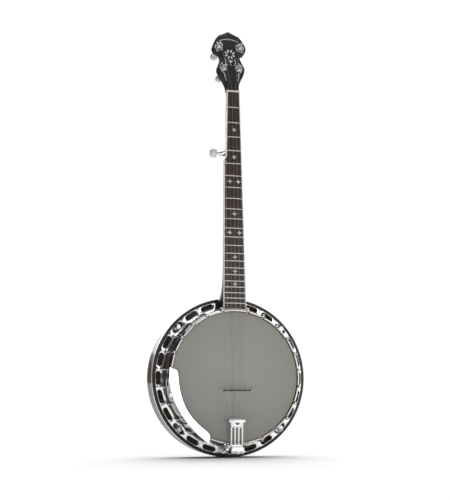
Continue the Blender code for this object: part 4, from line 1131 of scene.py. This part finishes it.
# ---- Bridge, tailpiece, armrest ----
def make_bridge():
    """Three feet and two arches in maple, thinned towards an ebony top."""
    height, split, half_thick, half_top = 0.0160, 0.0142, 0.00275, 0.0318
    half = fillet([(0.0050, 0.0003), (0.0062, 0.0040, 0.002), (0.0090, 0.0088, 0.002), (0.0140, 0.0100, 0.002),
                   (0.0190, 0.0098, 0.002), (0.0245, 0.0080, 0.002), (0.0275, 0.0036, 0.002), (0.0290, 0.0003),
                   (0.0385, 0.0003), (0.0380, 0.0028, 0.001), (0.0334, 0.0092, 0.003), (half_top, split)],
                  0.0, 4)
    whole = mirrored(half)
    cap = fillet([(-half_top, split - 0.0001), (half_top, split - 0.0001), (half_top - 0.0006, height, 0.001),
                  (0.0006 - half_top, height, 0.001)], 0.0, 3)
    shape = bmesh.new()
    plate(shape, whole, (), half_thick, -half_thick, 0.0003)
    plate(shape, cap, (), half_thick, -half_thick, 0.0002, material=1)
    for vert in shape.verts:
        x, y, z = vert.co
        vert.co = Vector((x, HEAD_Y - y, BRIDGE_Z + z * (1 - 0.5 * y / height)))
    piece("bridge_wood", shape, [BRIDGE_MAPLE, EBONY], slot="bridge_maple", replaces="bridge")


def make_tailpiece():
    """A string bar with a bright lip, four ribs over a slotted plate, a block, its bolt and bracket."""
    half, top, low = 0.0140, TAIL_PLATE_TOP, TAIL_PLATE_END
    front_top, front_low = HEAD_Y - 0.0140, HEAD_Y - 0.0185
    slope = math.atan2(front_top - front_low, top - low)
    plane = Matrix.Translation((0, front_top, top)) @ Matrix.Rotation(math.pi / 2 + slope, 4, "X")
    length = math.hypot(top - low, front_top - front_low)
    shape = bmesh.new()
    outline = fillet([(-half, -length), (half, -length), (half, -0.0060, 0.001), (half - 0.0015, 0.0, 0.001),
                      (0.0015 - half, 0.0, 0.001), (-half, -0.0060, 0.001)], 0.0, 4)
    slots = [fillet(rectangle(x - 0.0021, x + 0.0021, -0.0505, -0.0140), 0.0020, 5)
             for x in (-0.0081, 0.0, 0.0081)]
    slots.append(fillet([(-0.0058, -0.0042), (0.0058, -0.0042), (0.0, -0.0098)], 0.0006, 3))
    plate(shape, outline, slots, -0.0004, -0.0026, 0.0005, plane)
    for x in (-0.0122, -0.0041, 0.0041, 0.0122):
        line = [plane @ Vector((x, -0.0100 - 0.0050 * step, -0.0006)) for step in range(9)]
        tube(shape, line, [0.0010, *[0.00155] * 7, 0.0010], 14)
    wide, tall = (size / 2 for size in TAIL_BAR_SIZE)
    middle, end_share, end_length = -0.0130, 0.86, 0.0006
    lip = fillet([(-tall, -0.0106), (tall, -0.0106), (tall, -0.0138, 0.0014), (0.0012, -0.0150, 0.0010),
                  (-0.0016, -0.0146, 0.0008), (-0.0026, -0.0154, 0.0008), (-tall, -0.0152, 0.0010)], 0.0004, 4)
    loft(shape, [[shape.verts.new((x, HEAD_Y + (middle + (depth - middle) * share), TAIL_BAR_Z + z * share))
                  for z, depth in lip]
                 for x, share in ((-wide, end_share), (end_length - wide, 1.0), (wide - end_length, 1.0),
                                  (wide, end_share))])
    round_box(shape, (0, -0.1555, 0.0158), (0.0280, 0.0150, 0.0072), 0.0022, FACING)
    for x in (-0.0105, -0.0035, 0.0035, 0.0105):
        tube(shape, [(x, HEAD_Y - 0.0189, -0.1500), (x, HEAD_Y - 0.0194, -0.1525)], 0.0008)
    round_box(shape, (0, TAIL_RAIL_Z, 0.0110), (0.0270, 0.0030, 0.0078), 0.0010, FACING)
    for across in range(-2, 3):
        x, y = across * TAIL_PIN_SPACING, HEAD_Y - 0.0076
        tube(shape, [(x, y, -0.1014), (x, y, -0.0990)], [0.0010, 0.0013], 12)
    foot_end, wall_z = TAIL_BOLT_Z - 0.0040, -(RIM_RADIUS + GAP + 0.0015)
    round_box(shape, (0, (foot_end + wall_z) / 2, -0.0688), (0.0160, wall_z - foot_end, 0.0026), 0.0012, FACING,
              0.0005)
    round_box(shape, (0, wall_z, -0.0603), (0.0160, 0.0024, 0.0196), 0.0010, FACING, 0.0004)
    toward = Matrix.Translation((0, HEAD_Y, TAIL_BOLT_Z)) @ quarter_turns("X", 1)
    lathe(shape, soft([(0.0021, 0.0214, 0.0003), (0.0021, -0.0690, 0.0)]), 20, toward)
    lathe(shape, soft([(0.0030, 0.0206, 0.0006), (0.0036, 0.0196, 0.0004), (0.0036, 0.0190, 0.0)]), 28, toward)
    # Painted shade: a thin near-black disc on the bolt's end.
    lathe(shape, soft([(0.0013, 0.02146, 0.0), (0.0013, 0.02140, 0.0)]), 16, toward, 1)
    piece("tailpiece_metal", shape, [CHROME, SLOT_SHADE], replaces="tailpiece", smooth=38)


def make_armrest():
    """A bent, crowned crescent with rolled edges on two clamps."""
    inner_line = catmull([(203.3, 0.1345), (210.0, 0.1313), (222.0, 0.1300), (234.0, 0.1291), (248.0, 0.1272),
                          (263.0, 0.1262), (277.5, 0.1264)], 14)
    outer_line = catmull([(203.3, 0.1545), (209.0, 0.1513), (216.0, 0.1474), (227.0, 0.1454), (243.0, 0.1464),
                          (260.0, 0.1472), (277.5, 0.1480)], 14)
    section = catmull([(0.00, -0.0068), (0.02, -0.0076), (0.06, -0.0079), (0.30, -0.0083), (0.60, -0.0087),
                       (0.94, -0.0090), (0.98, -0.0087), (1.00, -0.0074)], 3)
    thick, end_width, last = 0.0012, 0.0030, len(inner_line) - 1
    front, back = [], []
    shape = bmesh.new()
    for step, ((degrees, inner), (_, outer)) in enumerate(zip(inner_line, outer_line)):
        part = 2 * step / last - 1
        rounding = 1 - (1 - abs(part) ** (7 if part < 0 else 12)) ** 0.5
        low = inner + (outer - end_width - inner) * rounding
        row = [(low + (outer - low) * share, depth) for share, depth in section]
        front.append([shape.verts.new(on_circle(radius, degrees, depth)) for radius, depth in row])
        row[-1] = (outer - thick, row[-1][1])
        back.append([shape.verts.new(on_circle(radius, degrees, depth + thick)) for radius, depth in row])
    skin(shape, front)
    skin(shape, back)
    for index in (0, -1):
        skin(shape, [[row[index] for row in front], [row[index] for row in back]])
        skin(shape, [front[index], back[index]])
    for hook in (6, 8):
        add_clamp(shape, -(HOOK_FIRST + HOOK_STEP * (hook + 0.5)))
    piece("armrest_plate", shape, [CHROME], replaces="armrest", smooth=40)


def add_clamp(shape, degrees):
    """A strap from the armrest round behind the hoop, with its screw."""
    turn = Matrix.Translation((0, HEAD_Y, 0)) @ around(degrees)
    path = [Vector(point) for point in (
        (0.1440, -0.0071), (0.1462, -0.0070), (0.1478, -0.0064), (0.1486, -0.0050), (0.1487, 0.0080),
        (0.1487, 0.0180), (0.1482, 0.0192), (0.1470, 0.0197), (0.1418, 0.0197))]
    corners = fillet(rectangle(-0.0045, 0.0045, -0.0009, 0.0009), 0.0006, 3)
    rows = []
    for index, point in enumerate(path):
        tangent = (path[min(index + 1, len(path) - 1)] - path[max(index - 1, 0)]).normalized()
        normal = Vector((tangent.y, -tangent.x))
        spots = [(corner.x, point + normal * corner.y) for corner in corners]
        rows.append([shape.verts.new(turn @ Vector((across, spot.y, spot.x))) for across, spot in spots])
    loft(shape, rows)
    lathe(shape, soft([(0.0026, 0.0016, 0.0006), (0.0030, 0.0006, 0.0)]), 20,
          turn @ Matrix.Translation((0, 0.0080, 0.1490)))


def dress_cad_nodes():
    """The CAD solids that keep their own shape get their finished materials."""
    looks = {"tone_ring": BRASS, "coordinator_rod": NICKEL}
    for number in range(1, 6):
        looks[f"string_{number}"] = WOUND if number == 4 else STEEL
    for node, look in looks.items():
        mesh = frame["nodes"][node].data
        mesh.materials.clear()
        mesh.materials.append(look)


# ---- Stage, light and camera ----
def make_stage():
    """A wide pale floor; the backdrop is the sky's own white glow."""
    reach = 30.0
    mesh = bpy.data.meshes.new("floor")
    mesh.from_pydata([(x, y, FLOOR_Z) for x, y in rectangle(-reach, reach, -reach, reach)], [], [(0, 1, 2, 3)])
    look = Look("backdrop", grey(0.90), 0.9, Specular_IOR_Level=0.0)
    look.set(Base_Color=look.ramp(look.noise(1.5), (0.2, grey(0.90)), (0.8, grey(0.92))))
    mesh.materials.append(look.material)
    floor = bpy.data.objects.new("floor", mesh)
    bpy.context.scene.collection.objects.link(floor)


def add_light(name, kind, location, direction, **settings):
    light = bpy.data.lights.new(name, kind)
    for key, value in settings.items():
        setattr(light, key, value)
    made = bpy.data.objects.new(name, light)
    made.location = location
    made.rotation_euler = Vector(direction).to_track_quat("-Z", "Y").to_euler()
    bpy.context.scene.collection.objects.link(made)


def make_light():
    """A dim room, brighter to the right, with a white glow behind the instrument; two suns and two boxes."""
    world = bpy.data.worlds.new("studio")
    world.use_nodes = True
    sky = Nodes(world.node_tree)
    background = sky.tree.nodes["Background"]
    direction = sky.node("ShaderNodeTexCoord", {}, "Generated")

    def towards(axis, *stops):
        facing = {0: direction, 1: Vector(axis).normalized()}
        return sky.ramp(sky.node("ShaderNodeVectorMath", facing, "Value", operation="DOT_PRODUCT"), *stops)

    room = towards((1.0, 0.0, 0.35), (0.0, (0.055, 0.055, 0.058, 1.0)), (0.55, grey(0.42)))
    glow = towards((0.27, 0.95, 0.13), (0.90, grey(0.0)), (0.955, grey(1.02)))
    sky.feed(background.inputs["Color"], sky.mix(room, glow, "LIGHTEN"))
    background.inputs["Strength"].default_value = 1.0
    bpy.context.scene.world = world
    suns = (("overhead", 1.65, (0.05, -0.05, -1.0)), ("from_behind", 2.1, (-0.50, -1.4, -1.0)))
    for name, energy, shining in suns:
        add_light(name, "SUN", (0, 0, 0), shining, energy=energy, angle=math.radians(70))
    radiance = 2.0
    boxes = (("front_box", 1.25, 0.42, 1.8, 0.80), ("low_box", 1.45, -0.07, 1.4, 0.18))
    for name, x, z, width, tall in boxes:
        add_light(name, "AREA", (x, -3.0, z), (0, 1, 0), energy=radiance * math.pi * width * tall,
                  shape="RECTANGLE", size=width, size_y=tall)


def make_camera():
    """The camera stands left of the middle, low down, and looks up a little; angles are in radians."""
    place, yaw, pitch, roll = (-0.71404, -2.54835, -0.07321), 0.2768, 0.1363, -0.0027
    forward = Vector((math.sin(yaw) * math.cos(pitch), math.cos(yaw) * math.cos(pitch), math.sin(pitch)))
    right = Vector((math.cos(yaw), -math.sin(yaw), 0.0))
    up = right.cross(forward)
    level = right * math.cos(roll) + up * math.sin(roll)
    upright = up * math.cos(roll) - right * math.sin(roll)
    camera = bpy.data.cameras.new("camera")
    camera.lens = 84.6
    camera.sensor_width = 36.0
    camera.clip_end = 60.0
    made = bpy.data.objects.new("camera", camera)
    turn = Matrix((level, upright, -forward)).transposed().to_4x4()
    made.matrix_world = Matrix.Translation(place) @ turn
    bpy.context.scene.collection.objects.link(made)
    bpy.context.scene.camera = made


make_rim()
make_head()
make_hoop()
make_flange()
make_hooks()
make_resonator()
make_purfling()
make_lugs()
make_thumb_screws()
make_neck()
make_fingerboard()
make_frets()
make_nut()
make_markers()
make_headstock_inlays()
make_tuners()
make_fifth_peg()
make_bridge()
make_tailpiece()
make_armrest()
dress_cad_nodes()
make_stage()
make_light()
make_camera()
bpy.context.scene.view_settings.view_transform = "Standard"
